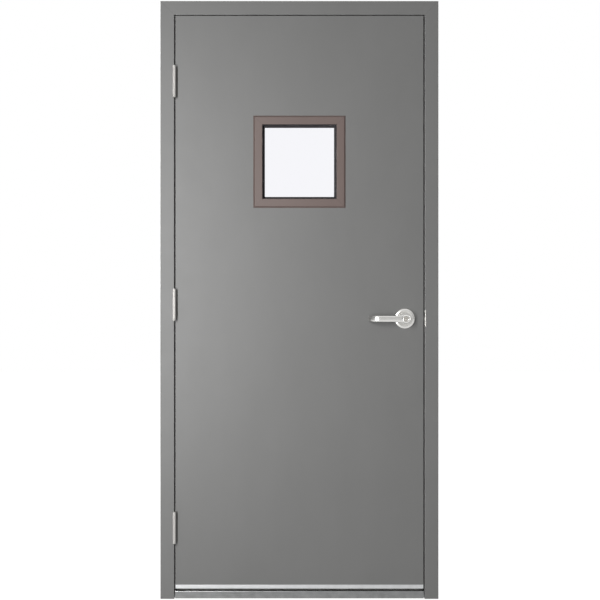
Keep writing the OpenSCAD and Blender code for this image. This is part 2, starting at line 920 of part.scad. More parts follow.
// Square frame about the lite's centre: four lengths of one section, mitred and welded
module lite_square() {
    for (i = [0:3])
        rotate([0, 90 * i, 0])
            intersection() {
                linear_extrude(3 * cut_half, center = true) children();
                along_y(-through / 4, through / 4)
                    polygon([[0, 0], [1.5 * cut_half, -1.5 * cut_half],
                             [1.5 * cut_half, 1.5 * cut_half]]);
            }
}

// Half of the lite frame, as it sits on the door's front
module lite_half() {
    edge_y = door_front - lite_t * sin(45);
    bevel = edge_y - lite_face_y;
    lite_square()
        folded([
            [view_half + tape_show, ledge_y],
            [lite_inner, ledge_y],
            [lite_inner, lite_face_y],
            [lite_outer - bevel, lite_face_y],
            [lite_outer, edge_y]
        ], lite_t, lite_bend_r);
}

module lite_screw_places() {
    for (i = [0:3], side = [-1, 1])
        rotate([0, 90 * i, 0])
            translate([lite_screw_u, 0, side * lite_screw_at]) children();
}

module lite_frame_front() {
    post_y = ledge_y - 6;
    color("#7d716b")
    translate([0, 0, lite_z])
    difference() {
        union() {
            lite_half();
            lite_screw_places() rod_y(lite_face_y + lite_t - eps, post_y, lite_post_r);
        }
        lite_screw_places() rod_y(lite_face_y + lite_t + 1, post_y + 1, lite_screw_r + running);
    }
}

module lite_frame_back() {
    color("#7d716b")
    translate([0, 0, lite_z])
    difference() {
        translate([0, 2 * door_mid, 0]) mirror([0, 1, 0]) lite_half();
        lite_screw_places() {
            rod_y(door_back, lite_back_y + 1, lite_screw_r + fit);
            translate([0, lite_back_y - lite_t, 0]) rotate([-90, 0, 0])
                cylinder(h = lite_t + eps, r1 = lite_screw_r + fit, r2 = lite_screw_r + 1.5);
        }
    }
}

module lite_screws() {
    color("#5d5450")
    translate([0, 0, lite_z])
    lite_screw_places() {
        rod_y(ledge_y - 18, lite_back_y - lite_t, lite_screw_r);
        translate([0, lite_back_y - lite_t - eps, 0]) rotate([-90, 0, 0])
            cylinder(h = lite_t - fit, r1 = lite_screw_r, r2 = lite_screw_r + 1.1);
    }
}

module glass_pane() {
    color("#e8eef0", 0.4)
    translate([0, 0, lite_z])
        box([-glass_half, door_mid - glass_t / 2, -glass_half],
            [glass_half, door_mid + glass_t / 2, glass_half]);
}

module glazing_tape(y0) {
    outer = lite_inner + lite_t;
    color("#2f2c2e")
    translate([0, 0, lite_z])
    along_y(y0, y0 + tape_t)
        difference() {
            square(2 * outer, center = true);
            square(2 * view_half, center = true);
        }
}

// Rubber bead that lines a reveal from the face down to the ledge
bead_t = 1.4;
bead_sunk = 0.8;

module glazing_bead() {
    color("#2f2c2e")
    lite_square()
        polygon([
            [view_half + tape_show, ledge_y],
            [view_half + tape_show, ledge_y - bead_t / 2],
            [lite_inner - 2 * bead_t, ledge_y - bead_t],
            [lite_inner - bead_t, ledge_y - 2 * bead_t],
            [lite_inner - bead_t, lite_face_y + bead_sunk + bead_t],
            [lite_inner - bead_t / 2, lite_face_y + bead_sunk],
            [lite_inner, lite_face_y + bead_sunk],
            [lite_inner, ledge_y - lite_bend_r],
            [lite_inner - lite_bend_r, ledge_y]
        ]);
}

module glazing_tape_front() {
    glazing_tape(door_mid - glass_t / 2 - tape_t);
    translate([0, 0, lite_z]) glazing_bead();
}

module glazing_tape_back() {
    glazing_tape(door_mid + glass_t / 2);
    translate([0, 2 * door_mid, lite_z]) mirror([0, 1, 0]) glazing_bead();
}

// Blocks that carry the glass on the sill of the cut-out
module setting_blocks() {
    color("#2f2c2e")
    for (side = [-1, 1])
        translate([side * glass_half * 0.4, door_mid, lite_z - cut_half])
            box([-20, -glass_t / 2, 0], [20, glass_t / 2, glass_gap]);
}

// Door shoe: an extruded U round the foot of the door, taller behind, with a sweep below
shoe_screw_r = 2;
shoe_screw_z = shoe_z + rear_leg_h - 11;
shoe_screws = 5;

module shoe_screw_places() {
    pitch = 2 * shoe_half * 0.88 / (shoe_screws - 1);
    for (i = [0:shoe_screws - 1])
        translate([(i - (shoe_screws - 1) / 2) * pitch, 0, shoe_screw_z]) children();
}

module door_shoe() {
    slot_head_h = shoe_cavity - shoe_t - 0.4;
    color("#c4c5c6")
    difference() {
        along_x(2 * shoe_half) {
            folded([
                [shoe_y0, shoe_z + strip_h],
                [shoe_y0, shoe_z],
                [shoe_y1, shoe_z],
                [shoe_y1, shoe_z + rear_leg_h]
            ], shoe_t, 0.3);
            for (y = seal_ys)
                translate([y - seal_slot - shoe_t, shoe_z + shoe_t / 2])
                    square([2 * (seal_slot + shoe_t), shoe_t / 2 + slot_head_h + shoe_t]);
        }
        for (y = seal_ys)
            box([-half_w, y - seal_slot, shoe_z + shoe_t],
                [half_w, y + seal_slot, shoe_z + shoe_t + slot_head_h]);
        for (share = [0.68, 0.8])
            box([-half_w, shoe_y0 - 1, shoe_z + strip_h * share],
                [half_w, shoe_y0 + shoe_t * 0.35, shoe_z + strip_h * share + 0.9]);
        for (y = seal_ys)
            box([-half_w, y - seal_slot / 2, shoe_z - 1],
                [half_w, y + seal_slot / 2, shoe_z + shoe_t + 1]);
        shoe_screw_places() rod_y(shoe_y1 - shoe_t - 1, shoe_y1 + 1, shoe_screw_r + running);
    }
}

// Sweep: a rubber strip held by two barbed stems in the shoe's slots, with two fins near
// its rear edge
module door_shoe_seal() {
    stem = seal_slot - 2 * fit;
    color("#6d6d6c")
    along_x(2 * shoe_half) {
        translate([seal_ys[0] - seal_lap, shoe_z - seal_base_t])
            square([shoe_y1 - 1 - seal_ys[0] + seal_lap, seal_base_t]);
        for (y = seal_ys) {
            translate([y - stem / 2, shoe_z - eps]) square([stem, shoe_t + 2 * eps]);
            polygon([
                [y - stem, shoe_z + shoe_t], [y + stem, shoe_z + shoe_t],
                [y + stem / 2, shoe_z + shoe_t + seal_barb_h],
                [y - stem / 2, shoe_z + shoe_t + seal_barb_h]
            ]);
        }
        for (y = fin_ys)
            polygon([
                [y - fin_root, shoe_z - seal_base_t + eps], [y - fin_tip, seal_bottom],
                [y + fin_tip, seal_bottom], [y + fin_root, shoe_z - seal_base_t + eps]
            ]);
    }
}

module door_shoe_screws() {
    color("#b9b7b2")
    shoe_screw_places() {
        rod_y(door_back - 7, shoe_y1, shoe_screw_r);
        rod_y(shoe_y1, shoe_y1 + 1.3, shoe_screw_r + 1.8);
    }
}

// A piece of the lockset: y = 0 on the door's face and y grows out of the door.
// face is -1 outside and 1 inside.
module on_face(face) {
    translate([lock_x, face < 0 ? door_front : door_back, lock_z])
        mirror([0, face < 0 ? 1 : 0, 0]) children();
}

module turned_about_y() {
    rotate([-90, 0, 0]) rotate_extrude() children();
}

// Rose: a pressed cup with a rolled rim and a slightly dished face
module rose() {
    rim = rose_h * 0.42;
    turned_about_y()
        folded([
            [rose_d / 2, 0],
            [rose_d / 2, rim],
            [rose_d / 2 - rose_h * 0.55, rose_h],
            [hub_r + 5, rose_h - rose_dish],
            [spindle_r + moving_gap, rose_h - rose_dish]
        ], rose_t, 1.6);
}

module outside_rose() {
    color("#c2c0bb") on_face(-1) rose();
}

module inside_rose() {
    color("#c2c0bb") on_face(1) rose();
}

// Chassis: the drum in the cross bore, with a threaded collar under each rose
module lock_chassis() {
    color("#a3a29c")
    translate([lock_x, 0, lock_z])
    difference() {
        union() {
            rod_y(door_front, door_back, drum_r);
            rod_y(door_front - collar_h, door_back + collar_h, collar_r);
        }
        rod_y(door_front - rose_h, door_back + rose_h, spindle_r + running);
        for (side = [-1, 1])
            translate([0, 0, side * bolt_at]) rod_y(-1, door_back + 1, bolt_r + running);
    }
}

module lock_bolts() {
    color("#b9b7b2")
    for (side = [-1, 1])
        translate([lock_x, 0, lock_z + side * bolt_at]) {
            rod_y(door_front, door_back, bolt_r);
            rod_y(door_back, door_back + 2, bolt_head_r);
        }
}

module latch_tube() {
    color("#a3a29c")
    translate([0, door_mid, lock_z])
    difference() {
        rod_x(tube_x0, faceplate_x, tube_r);
        rod_x(tube_x0 + tube_wall, faceplate_x + 1, tube_r - tube_wall);
    }
}

faceplate_screw_z = faceplate_h / 2 - 7;
faceplate_screw_r = 2;
faceplate_screw_head_r = 4;

module latch_faceplate() {
    color("#c9c7c2")
    translate([0, door_mid, lock_z])
    difference() {
        box([faceplate_x, -faceplate_w / 2, -faceplate_h / 2],
            [door_half, faceplate_w / 2, faceplate_h / 2]);
        translate([faceplate_x - 1, 0, 0]) rotate([90, 0, 90])
            linear_extrude(plate_t + 2) rounded_bar(latch_w + 2 * seat_gap, latch_h + 2 * seat_gap, 2);
        for (side = [-1, 1])
            translate([door_half, 0, side * faceplate_screw_z]) mirror([1, 0, 0])
                countersunk_hole(plate_t + 1, faceplate_screw_r + running, faceplate_screw_head_r);
    }
}

module faceplate_screws() {
    color("#b9b7b2")
    for (side = [-1, 1])
        translate([door_half, door_mid, lock_z + side * faceplate_screw_z])
            mirror([1, 0, 0]) countersunk_screw(10, faceplate_screw_r, faceplate_screw_head_r);
}

// Latch bolt: rounded bar, bevelled on the side that meets the strike when the door closes
module latch_bolt() {
    tip = door_half + latch_throw;
    color("#c9c7c2")
    translate([0, door_mid, lock_z])
    difference() {
        translate([bolt_x0, 0, 0]) rotate([90, 0, 90])
            linear_extrude(tip - bolt_x0) rounded_bar(latch_w, latch_h, 1.8);
        linear_extrude(latch_h + 2, center = true)
            polygon([
                [tip + 1, -latch_w / 2 + 1], [tip + 1, latch_w / 2 + 1],
                [tip - latch_throw + 1, latch_w / 2 + 1],
                [tip - latch_throw + 1, latch_w / 2], [tip - 0.5, -latch_w / 2 + 1]
            ]);
    }
}

// Lever: a turned hub with a flat bar that flares from it, runs towards the hinges and
// returns to the door in a quarter turn
neck = 40;

module lever_bar() {
    rounded_bar(lever_t, lever_h, lever_t * 0.42);
}

module lever(bore_r, bore_depth) {
    bend_x = lever_reach - lever_curve - lever_t / 2;
    tail_end = tip_gap;
    hub_0 = rose_h + hub_gap;
    difference() {
        union() {
            turned_about_y()
                polygon([
                    [0, hub_0], [hub_r, hub_0], [hub_r, hub_0 + 6], [hub_r - 2, hub_0 + 12],
                    [hub_r - 1.5, lever_y - 14], [hub_r + 3, lever_y - 3],
                    [hub_r + 3, lever_out - 4], [hub_r + 1.5, lever_out - 1],
                    [hub_r - 1.5, lever_out], [0, lever_out]
                ]);
            hull() {
                rod_y(lever_y - lever_t / 2, lever_y + lever_t / 2, hub_r + 1, $fn = 32);
                translate([-neck, lever_y, 0]) rotate([90, 0, 90])
                    linear_extrude(1) rounded_bar(lever_t, lever_h, lever_t * 0.42, $fn = 24);
            }
            translate([-bend_x, lever_y, 0]) rotate([90, 0, 90])
                linear_extrude(bend_x - neck + 1) lever_bar();
            translate([-bend_x, lever_y - lever_curve, 0])
                rotate([0, 0, 90]) rotate_extrude(angle = 90)
                    translate([lever_curve, 0]) lever_bar();
            translate([-bend_x - lever_curve, tail_end, 0]) rotate([-90, 0, 0])
                linear_extrude(lever_y - lever_curve - tail_end) lever_bar();
        }
        rod_y(hub_0 - 1, lever_out - bore_depth, spindle_r + running);
        rod_y(lever_out - bore_depth - 1, lever_out + 1, bore_r);
    }
}

cylinder_depth = 34;

module outside_lever() {
    color("#c2c0bb") on_face(-1) lever(cylinder_r + running, cylinder_depth);
}

module inside_lever() {
    color("#c2c0bb") on_face(1) lever(button_r + seat_gap, cylinder_depth);
}

// Spindles: tubes that carry the levers through the roses into the drum
module spindle(front) {
    difference() {
        rod_y(-door_t * 0.4, front, spindle_r);
        rod_y(-door_t * 0.4 - 1, front + 1, spindle_r - 3);
    }
}

module outside_spindle() {
    color("#a3a29c") on_face(-1) spindle(lever_out - cylinder_depth);
}

module inside_spindle() {
    color("#a3a29c") on_face(1) spindle(lever_out - cylinder_depth);
}

// Key cylinder in the outside lever, with the plug that the key turns
module key_cylinder() {
    color("#bdbbb6")
    on_face(-1)
    difference() {
        rod_y(lever_out - cylinder_depth, lever_out + 0.8, cylinder_r);
        rod_y(lever_out - cylinder_depth + 5, lever_out + 2, plug_r + running);
        rod_y(lever_out - cylinder_depth - 1, lever_out, 2.5);
    }
}

keyway_w = 2;
keyway_h = 8.6;

module key_plug() {
    color("#b3b1ab")
    on_face(-1)
    difference() {
        rod_y(lever_out - cylinder_depth + 5 + running, lever_out + 1, plug_r);
        box([-keyway_w / 2, lever_out - 20, -keyway_h / 2], [keyway_w / 2, lever_out + 2, keyway_h / 2]);
        box([-keyway_w / 2 - 1, lever_out - 20, -1], [0, lever_out + 2, 0.6]);
    }
}

// Turn button in the inside lever
module turn_button() {
    color("#c2c0bb")
    on_face(1)
    difference() {
        union() {
            rod_y(lever_out - cylinder_depth + 2, lever_out + 1.5, button_r);
            rod_y(lever_out + seat_gap, lever_out + 3.5, button_r + 2.5);
            box([-1.6, lever_out + 3, -button_r - 1.5], [1.6, lever_out + 9, button_r + 1.5]);
        }
    }
}

translate([0, -frame_depth / 2, 0]) {
    hinge_jamb();
    strike_jamb();
    frame_head();
    frame_hinge_plates();
    strike_reinforcement();
    hinge_jamb_anchors();
    strike_jamb_anchors();
    floor_anchors();
    threshold();
    strike_plate();
    strike_screws();
    strike_box();
    silencers();
    frame_leaf(2);  // frame_leaf_top
    frame_leaf(1);  // frame_leaf_middle
    frame_leaf(0);  // frame_leaf_bottom
    hinge_pin(2);  // hinge_pin_top
    hinge_pin(1);  // hinge_pin_middle
    hinge_pin(0);  // hinge_pin_bottom
    hinge_end_plugs();
    frame_leaf_screws();
    door_front_skin();
    door_back_skin();
    door_top_channel();
    door_bottom_channel();
    door_stiffeners();
    lite_channels();
    door_hinge_plates();
    lock_reinforcement();
    lite_frame_front();
    lite_frame_back();
    lite_screws();
    glass_pane();
    glazing_tape_front();
    glazing_tape_back();
    setting_blocks();
    door_shoe();
    door_shoe_seal();
    door_shoe_screws();
    door_leaf(2);  // door_leaf_top
    door_leaf(1);  // door_leaf_middle
    door_leaf(0);  // door_leaf_bottom
    door_leaf_screws();
    outside_rose();
    inside_rose();
    lock_chassis();
    lock_bolts();
    latch_tube();
    latch_faceplate();
    faceplate_screws();
    outside_lever();
    outside_spindle();
    key_cylinder();
    key_plug();
    inside_lever();
    inside_spindle();
    turn_button();
    latch_bolt();
}
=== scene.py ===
"""Looks of a grey hollow metal door with a vision lite, hung in its steel frame.

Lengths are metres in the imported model's own frame: X = 0 is the middle of the opening,
Y = 0 the middle of the frame's depth and Z = 0 the floor. The pressed sheets, channels, hinges
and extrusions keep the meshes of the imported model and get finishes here. The pieces whose
shape wants a smooth surface or a fine recess are worked out with numpy and replace theirs.
"""

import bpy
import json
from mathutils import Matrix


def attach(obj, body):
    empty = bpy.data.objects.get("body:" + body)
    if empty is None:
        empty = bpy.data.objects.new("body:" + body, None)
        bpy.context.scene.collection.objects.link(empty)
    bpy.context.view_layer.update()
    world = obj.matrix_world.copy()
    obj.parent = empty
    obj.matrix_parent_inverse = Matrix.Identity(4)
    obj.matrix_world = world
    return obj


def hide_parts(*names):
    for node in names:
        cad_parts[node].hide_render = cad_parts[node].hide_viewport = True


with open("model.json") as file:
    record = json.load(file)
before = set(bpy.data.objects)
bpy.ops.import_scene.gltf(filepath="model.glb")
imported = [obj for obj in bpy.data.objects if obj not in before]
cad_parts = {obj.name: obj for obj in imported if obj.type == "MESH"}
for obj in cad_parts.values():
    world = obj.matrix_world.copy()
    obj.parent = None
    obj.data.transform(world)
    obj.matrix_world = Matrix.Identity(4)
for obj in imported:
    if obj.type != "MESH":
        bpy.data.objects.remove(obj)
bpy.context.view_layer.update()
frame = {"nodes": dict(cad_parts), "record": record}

import json
import logging
import math
from dataclasses import dataclass
from enum import Enum
from functools import cache

import bmesh
import bpy
import numpy as np

log = logging.getLogger("door")

MM = 0.001
PHOTO_PX = 600

# Places on the door and frame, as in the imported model
OPENING_W = 0.9144
OPENING_H = 2.1336
DOOR_HALF = 0.454
DOOR_SET_BACK = 0.0016
DOOR_T = 0.04445
FRAME_FRONT = -0.073
DOOR_FRONT = FRAME_FRONT + DOOR_SET_BACK
DOOR_BACK = DOOR_FRONT + DOOR_T
DOOR_MID = (DOOR_FRONT + DOOR_BACK) / 2
PIN_X = -0.4556
PIN_OUT = 0.01745
PIN_Y = FRAME_FRONT - PIN_OUT
HINGE_ZS = (0.263, 1.0753, 1.8876)
LITE_Z = 1.597
LOCK_X = 0.38415
LOCK_Z = 1.0239

# Each screw of a row is turned this much further than the one before, in radians
DRIVE_TURN = 2.399
# A screw's head lies this far under the face that it is countersunk in
SUNK = 0.2 * MM
# Points closer than this are welded into one
WELD = 1e-7
# Least divisor, so that a straight corner doesn't divide by nothing
TINY = 1e-9
# Share of a side that the arc at one of its ends may take
ARC_ROOM = 0.48

# Nearly all values of a noise texture lie in this range
NOISE_SPAN = {"From Min": 0.3, "From Max": 0.7}
# Sockets of a Mix node that mixes colours
MIX_FACTOR, MIX_A, MIX_B, MIX_RESULT = 0, 6, 7, 2


class Side(Enum):
    """Face of the door: the sign of Y along which its hardware stands out."""

    OUTSIDE = -1
    INSIDE = 1


def linear(
    hex_colour: str, shade: float = 1.0, lift: float = 0.0
) -> tuple[float, float, float, float]:
    """Turn an sRGB colour into the linear values that the shader takes.

    A channel c up to 0.04045 becomes c / 12.92, and a larger one ((c + 0.055) / 1.055) ^ 2.4.

    Args:
        hex_colour: The colour as #rrggbb.
        shade: Factor on the linear values: under 1 for a darker tone, over 1 for a paler one.
        lift: What is added to them, as by a film of dust.

    Returns:
        Linear red, green and blue, and an alpha of 1.
    """
    srgb = np.array([int(hex_colour[i:i + 2], 16) for i in (1, 3, 5)]) / 255.0
    rgb = np.where(srgb <= 0.04045, srgb / 12.92, ((srgb + 0.055) / 1.055) ** 2.4)
    return (*(rgb * shade + lift).tolist(), 1.0)


def per_metre(size_mm: float) -> float:
    """Return the texture scale at which one feature of a pattern is size_mm long."""
    return 1.0 / (size_mm * MM)


def add_node(
    tree: bpy.types.NodeTree, kind: str, inputs: dict | None = None, **settings: object
) -> bpy.types.Node:
    """Add a node with its settings, values and links.

    Args:
        tree: Node tree that gets the node.
        kind: Blender's type name of the node.
        inputs: Socket name or index to a value, or to the output socket to link from.
        **settings: Properties of the node.

    Returns:
        The new node.
    """
    node = tree.nodes.new(kind)
    for name, value in settings.items():
        setattr(node, name, value)
    for name, value in (inputs or {}).items():
        if isinstance(value, bpy.types.NodeSocket):
            tree.links.new(value, node.inputs[name])
        else:
            node.inputs[name].default_value = value
    return node


def unevenness(
    tree: bpy.types.NodeTree, place: bpy.types.NodeSocket, size_mm: float,
    stretch: tuple[float, float, float] = (1.0, 1.0, 1.0), detail: float = 3.0,
) -> bpy.types.NodeSocket:
    """Add a noise pattern with features of a real size.

    Args:
        tree: Node tree of the material.
        place: Object coordinates.
        size_mm: Size of one feature across its grain.
        stretch: How many times longer a feature is along each axis.
        detail: Octaves of finer noise.

    Returns:
        The noise's factor, about 0.5 on average.
    """
    scale = per_metre(size_mm)
    mapped = add_node(
        tree, "ShaderNodeMapping", {"Vector": place, "Scale": tuple(scale / s for s in stretch)}
    )
    return add_node(
        tree, "ShaderNodeTexNoise",
        {"Vector": mapped.outputs["Vector"], "Scale": 1.0, "Detail": detail},
    ).outputs["Fac"]


def hairline(
    tree: bpy.types.NodeTree, place: bpy.types.NodeSocket, centre_z: float, four: bool,
    width_mm: float,
) -> bpy.types.NodeSocket:
    """Mark the mitres of a frame round the axis X = 0, Z = centre_z.

    With four mitres the mark is 1 where | |x| - |z - centre_z| | is under half the line's
    width. With two it is 1 where | |x| - (z - centre_z) | is, so it lies above the centre.

    Args:
        tree: Node tree of the material.
        place: Object coordinates.
        centre_z: Height at which the two diagonals meet.
        four: Whether the frame goes all the way round.
        width_mm: Width of the line.

    Returns:
        Socket that is 1 on the line and 0 off it.
    """
    axes = add_node(tree, "ShaderNodeSeparateXYZ", {"Vector": place})
    across = add_node(tree, "ShaderNodeMath", {0: axes.outputs["X"]}, operation="ABSOLUTE")
    level = add_node(
        tree, "ShaderNodeMath", {0: axes.outputs["Z"], 1: centre_z}, operation="SUBTRACT"
    )
    if four:
        level = add_node(tree, "ShaderNodeMath", {0: level.outputs[0]}, operation="ABSOLUTE")
    return add_node(
        tree, "ShaderNodeMath",
        {0: across.outputs[0], 1: level.outputs[0], 2: width_mm * MM / 2},
        operation="COMPARE",
    ).outputs[0]


@dataclass(frozen=True)
class Finish:
    """Common base of the finishes: a Principled shader on Object coordinates."""

    name: str
    colour: str
    roughness: float

    def material(self) -> bpy.types.Material:
        """Build the material.

        Returns:
            The new material.
        """
        material = bpy.data.materials.new(self.name)
        material.use_nodes = True
        tree = material.node_tree
        tree.nodes.clear()
        place = add_node(tree, "ShaderNodeTexCoord").outputs["Object"]
        shader = self.shader(tree, place)
        add_node(tree, "ShaderNodeOutputMaterial", {"Surface": shader.outputs["BSDF"]})
        return material

    def shader(self, tree: bpy.types.NodeTree, place: bpy.types.NodeSocket) -> bpy.types.Node:
        """Return the Principled node of this finish, linked up."""
        raise NotImplementedError


@dataclass(frozen=True)
class AlkydPaint(Finish):
    """Semi-gloss alkyd enamel rolled and sprayed on steel.

    A soft broad highlight, a faint mottle where the coat is thinner, and orange peel that
    shows only close up. Mitred pieces show their dressed weld as a dark hairline.
    """

    mottle: float = 0.03
    mottle_mm: float = 140.0
    sag: tuple[float, float, float] = (1.0, 1.0, 2.2)
    gloss_mm: float = 60.0
    gloss_range: tuple[float, float] = (-0.012, 0.015)
    peel_mm: float = 1.6
    peel_depth_mm: float = 0.03
    bump: float = 0.25
    mitre_z: float | None = None
    four_mitres: bool = False
    weld_mm: float = 0.9
    weld_shade: float = 0.62

    def shader(self, tree: bpy.types.NodeTree, place: bpy.types.NodeSocket) -> bpy.types.Node:
        """Mix the mottled colour, the uneven gloss, the orange peel and the welds' hairlines.

        Args:
            tree: Node tree of the material.
            place: Object coordinates.

        Returns:
            The Principled node, linked up.
        """
        coat = add_node(
            tree, "ShaderNodeMapRange",
            {"Value": unevenness(tree, place, self.mottle_mm, self.sag, 5.0), **NOISE_SPAN},
        )
        thin, thick = linear(self.colour, 1 - self.mottle), linear(self.colour, 1 + self.mottle)
        colour = add_node(
            tree, "ShaderNodeMix",
            {MIX_FACTOR: coat.outputs["Result"], MIX_A: thin, MIX_B: thick}, data_type="RGBA",
        ).outputs[MIX_RESULT]
        height = add_node(
            tree, "ShaderNodeMapRange",
            {"Value": unevenness(tree, place, self.peel_mm, detail=2.0), **NOISE_SPAN},
        ).outputs["Result"]
        if self.mitre_z is not None:
            line = hairline(tree, place, self.mitre_z, self.four_mitres, self.weld_mm)
            weld = linear(self.colour, self.weld_shade)
            colour = add_node(
                tree, "ShaderNodeMix",
                {MIX_FACTOR: line, MIX_A: colour, MIX_B: weld}, data_type="RGBA",
            ).outputs[MIX_RESULT]
            height = add_node(
                tree, "ShaderNodeMath", {0: height, 1: line}, operation="SUBTRACT"
            ).outputs[0]
        rough = add_node(
            tree, "ShaderNodeMapRange",
            {
                "Value": unevenness(tree, place, self.gloss_mm, detail=6.0), **NOISE_SPAN,
                "To Min": self.roughness + self.gloss_range[0],
                "To Max": self.roughness + self.gloss_range[1],
            },
        )
        bump = add_node(
            tree, "ShaderNodeBump",
            {"Height": height, "Strength": self.bump, "Distance": self.peel_depth_mm * MM},
        )
        return add_node(
            tree, "ShaderNodeBsdfPrincipled",
            {
                "Base Color": colour, "Roughness": rough.outputs["Result"],
                "Normal": bump.outputs["Normal"],
            },
        )


@dataclass(frozen=True)
class SatinPlate(Finish):
    """Satin chrome or nickel plate, or plain brushed metal.

    Fine lines in one direction draw the highlight out across them, over a colour that
    hardly varies. Real lines are under 0.1 mm wide and wouldn't show, so they are drawn
    grain_mm wide. The field grain says how many times longer they are along each axis.
    """

    grain: tuple[float, float, float] = (1.0, 1.0, 40.0)
    grain_mm: float = 0.25
    bump: float = 0.12
    bump_mm: float = 0.02
    gloss_range: tuple[float, float] = (-0.05, 0.07)
    blotch: float = 0.04
    blotch_mm: float = 25.0

    def shader(self, tree: bpy.types.NodeTree, place: bpy.types.NodeSocket) -> bpy.types.Node:
        """Mix the plate's colour, with brushed lines in gloss and bump.

        Args:
            tree: Node tree of the material.
            place: Object coordinates.

        Returns:
            The Principled node, linked up.
        """
        lines = unevenness(tree, place, self.grain_mm, self.grain, 3.0)
        cloud = add_node(
            tree, "ShaderNodeMapRange",
            {"Value": unevenness(tree, place, self.blotch_mm, detail=4.0), **NOISE_SPAN},
        )
        dull = linear(self.colour, 1 - self.blotch)
        colour = add_node(
            tree, "ShaderNodeMix",
            {MIX_FACTOR: cloud.outputs["Result"], MIX_A: dull, MIX_B: linear(self.colour)},
            data_type="RGBA",
        )
        rough = add_node(
            tree, "ShaderNodeMapRange",
            {
                "Value": lines, **NOISE_SPAN,
                "To Min": self.roughness + self.gloss_range[0],
                "To Max": self.roughness + self.gloss_range[1],
            },
        )
        bump = add_node(
            tree, "ShaderNodeBump",
            {"Height": lines, "Strength": self.bump, "Distance": self.bump_mm * MM},
        )
        return add_node(
            tree, "ShaderNodeBsdfPrincipled",
            {
                "Base Color": colour.outputs[MIX_RESULT], "Metallic": 1.0,
                "Roughness": rough.outputs["Result"], "Normal": bump.outputs["Normal"],
            },
        )


@dataclass(frozen=True)
class ZincPlate(Finish):
    """Galvanised or electroplated zinc: grey metal with a soft spangle."""

    spangle_mm: float = 6.0
    spangle_span: tuple[float, float] = (0.2, 0.8)
    spangle_shade: float = 0.8
    gloss_range: tuple[float, float] = (-0.06, 0.08)
    metallic: float = 0.85

    def shader(self, tree: bpy.types.NodeTree, place: bpy.types.NodeSocket) -> bpy.types.Node:
        """Mix the spangled colour and gloss.

        Args:
            tree: Node tree of the material.
            place: Object coordinates.

        Returns:
            The Principled node, linked up.
        """
        flake = add_node(
            tree, "ShaderNodeTexVoronoi",
            {"Vector": place, "Scale": per_metre(self.spangle_mm)}, feature="SMOOTH_F1",
        ).outputs["Distance"]
        span = {"From Min": self.spangle_span[0], "From Max": self.spangle_span[1]}
        tone = add_node(tree, "ShaderNodeMapRange", {"Value": flake, **span})
        dark = linear(self.colour, self.spangle_shade)
        colour = add_node(
            tree, "ShaderNodeMix",
            {MIX_FACTOR: tone.outputs["Result"], MIX_A: linear(self.colour), MIX_B: dark},
            data_type="RGBA",
        )
        rough = add_node(
            tree, "ShaderNodeMapRange",
            {
                "Value": flake, **span,
                "To Min": self.roughness + self.gloss_range[0],
                "To Max": self.roughness + self.gloss_range[1],
            },
        )
        return add_node(
            tree, "ShaderNodeBsdfPrincipled",
            {
                "Base Color": colour.outputs[MIX_RESULT], "Metallic": self.metallic,
                "Roughness": rough.outputs["Result"],
            },
        )


@dataclass(frozen=True)
class Primer(Finish):
    """Grey shop primer on hidden steel: matte, thin and uneven."""

    patch_mm: float = 35.0
    patch_shade: float = 0.86
    grit_mm: float = 0.5
    grit_depth_mm: float = 0.03
    bump: float = 0.2

    def shader(self, tree: bpy.types.NodeTree, place: bpy.types.NodeSocket) -> bpy.types.Node:
        """Mix the patchy matte colour and the fine grit.

        Args:
            tree: Node tree of the material.
            place: Object coordinates.

        Returns:
            The Principled node, linked up.
        """
        patch = add_node(
            tree, "ShaderNodeMapRange",
            {"Value": unevenness(tree, place, self.patch_mm, detail=6.0), **NOISE_SPAN},
        )
        thin = linear(self.colour, self.patch_shade)
        colour = add_node(
            tree, "ShaderNodeMix",
            {MIX_FACTOR: patch.outputs["Result"], MIX_A: thin, MIX_B: linear(self.colour)},
            data_type="RGBA",
        )
        grit = unevenness(tree, place, self.grit_mm, detail=2.0)
        bump = add_node(
            tree, "ShaderNodeBump",
            {"Height": grit, "Strength": self.bump, "Distance": self.grit_depth_mm * MM},
        )
        return add_node(
            tree, "ShaderNodeBsdfPrincipled",
            {
                "Base Color": colour.outputs[MIX_RESULT], "Roughness": self.roughness,
                "Normal": bump.outputs["Normal"],
            },
        )


@dataclass(frozen=True)
class Rubber(Finish):
    """Vulcanised rubber or glazing tape: dull, with dust in its pores."""

    pore_mm: float = 0.8
    pore_depth_mm: float = 0.05
    bump: float = 0.3
    dust_mm: float = 9.0
    dust_span: tuple[float, float] = (0.45, 0.75)
    dust_shade: float = 1.5
    dust_lift: float = 0.004

    def shader(self, tree: bpy.types.NodeTree, place: bpy.types.NodeSocket) -> bpy.types.Node:
        """Mix the dull colour, a little dust and the pores.

        Args:
            tree: Node tree of the material.
            place: Object coordinates.

        Returns:
            The Principled node, linked up.
        """
        dust = add_node(
            tree, "ShaderNodeMapRange",
            {
                "Value": unevenness(tree, place, self.dust_mm, detail=6.0),
                "From Min": self.dust_span[0], "From Max": self.dust_span[1],
            },
        )
        pale = linear(self.colour, self.dust_shade, self.dust_lift)
        colour = add_node(
            tree, "ShaderNodeMix",
            {MIX_FACTOR: dust.outputs["Result"], MIX_A: linear(self.colour), MIX_B: pale},
            data_type="RGBA",
        )
        pores = unevenness(tree, place, self.pore_mm, detail=2.0)
        bump = add_node(
            tree, "ShaderNodeBump",
            {"Height": pores, "Strength": self.bump, "Distance": self.pore_depth_mm * MM},
        )
        return add_node(
            tree, "ShaderNodeBsdfPrincipled",
            {
                "Base Color": colour.outputs[MIX_RESULT], "Roughness": self.roughness,
                "Normal": bump.outputs["Normal"],
            },
        )


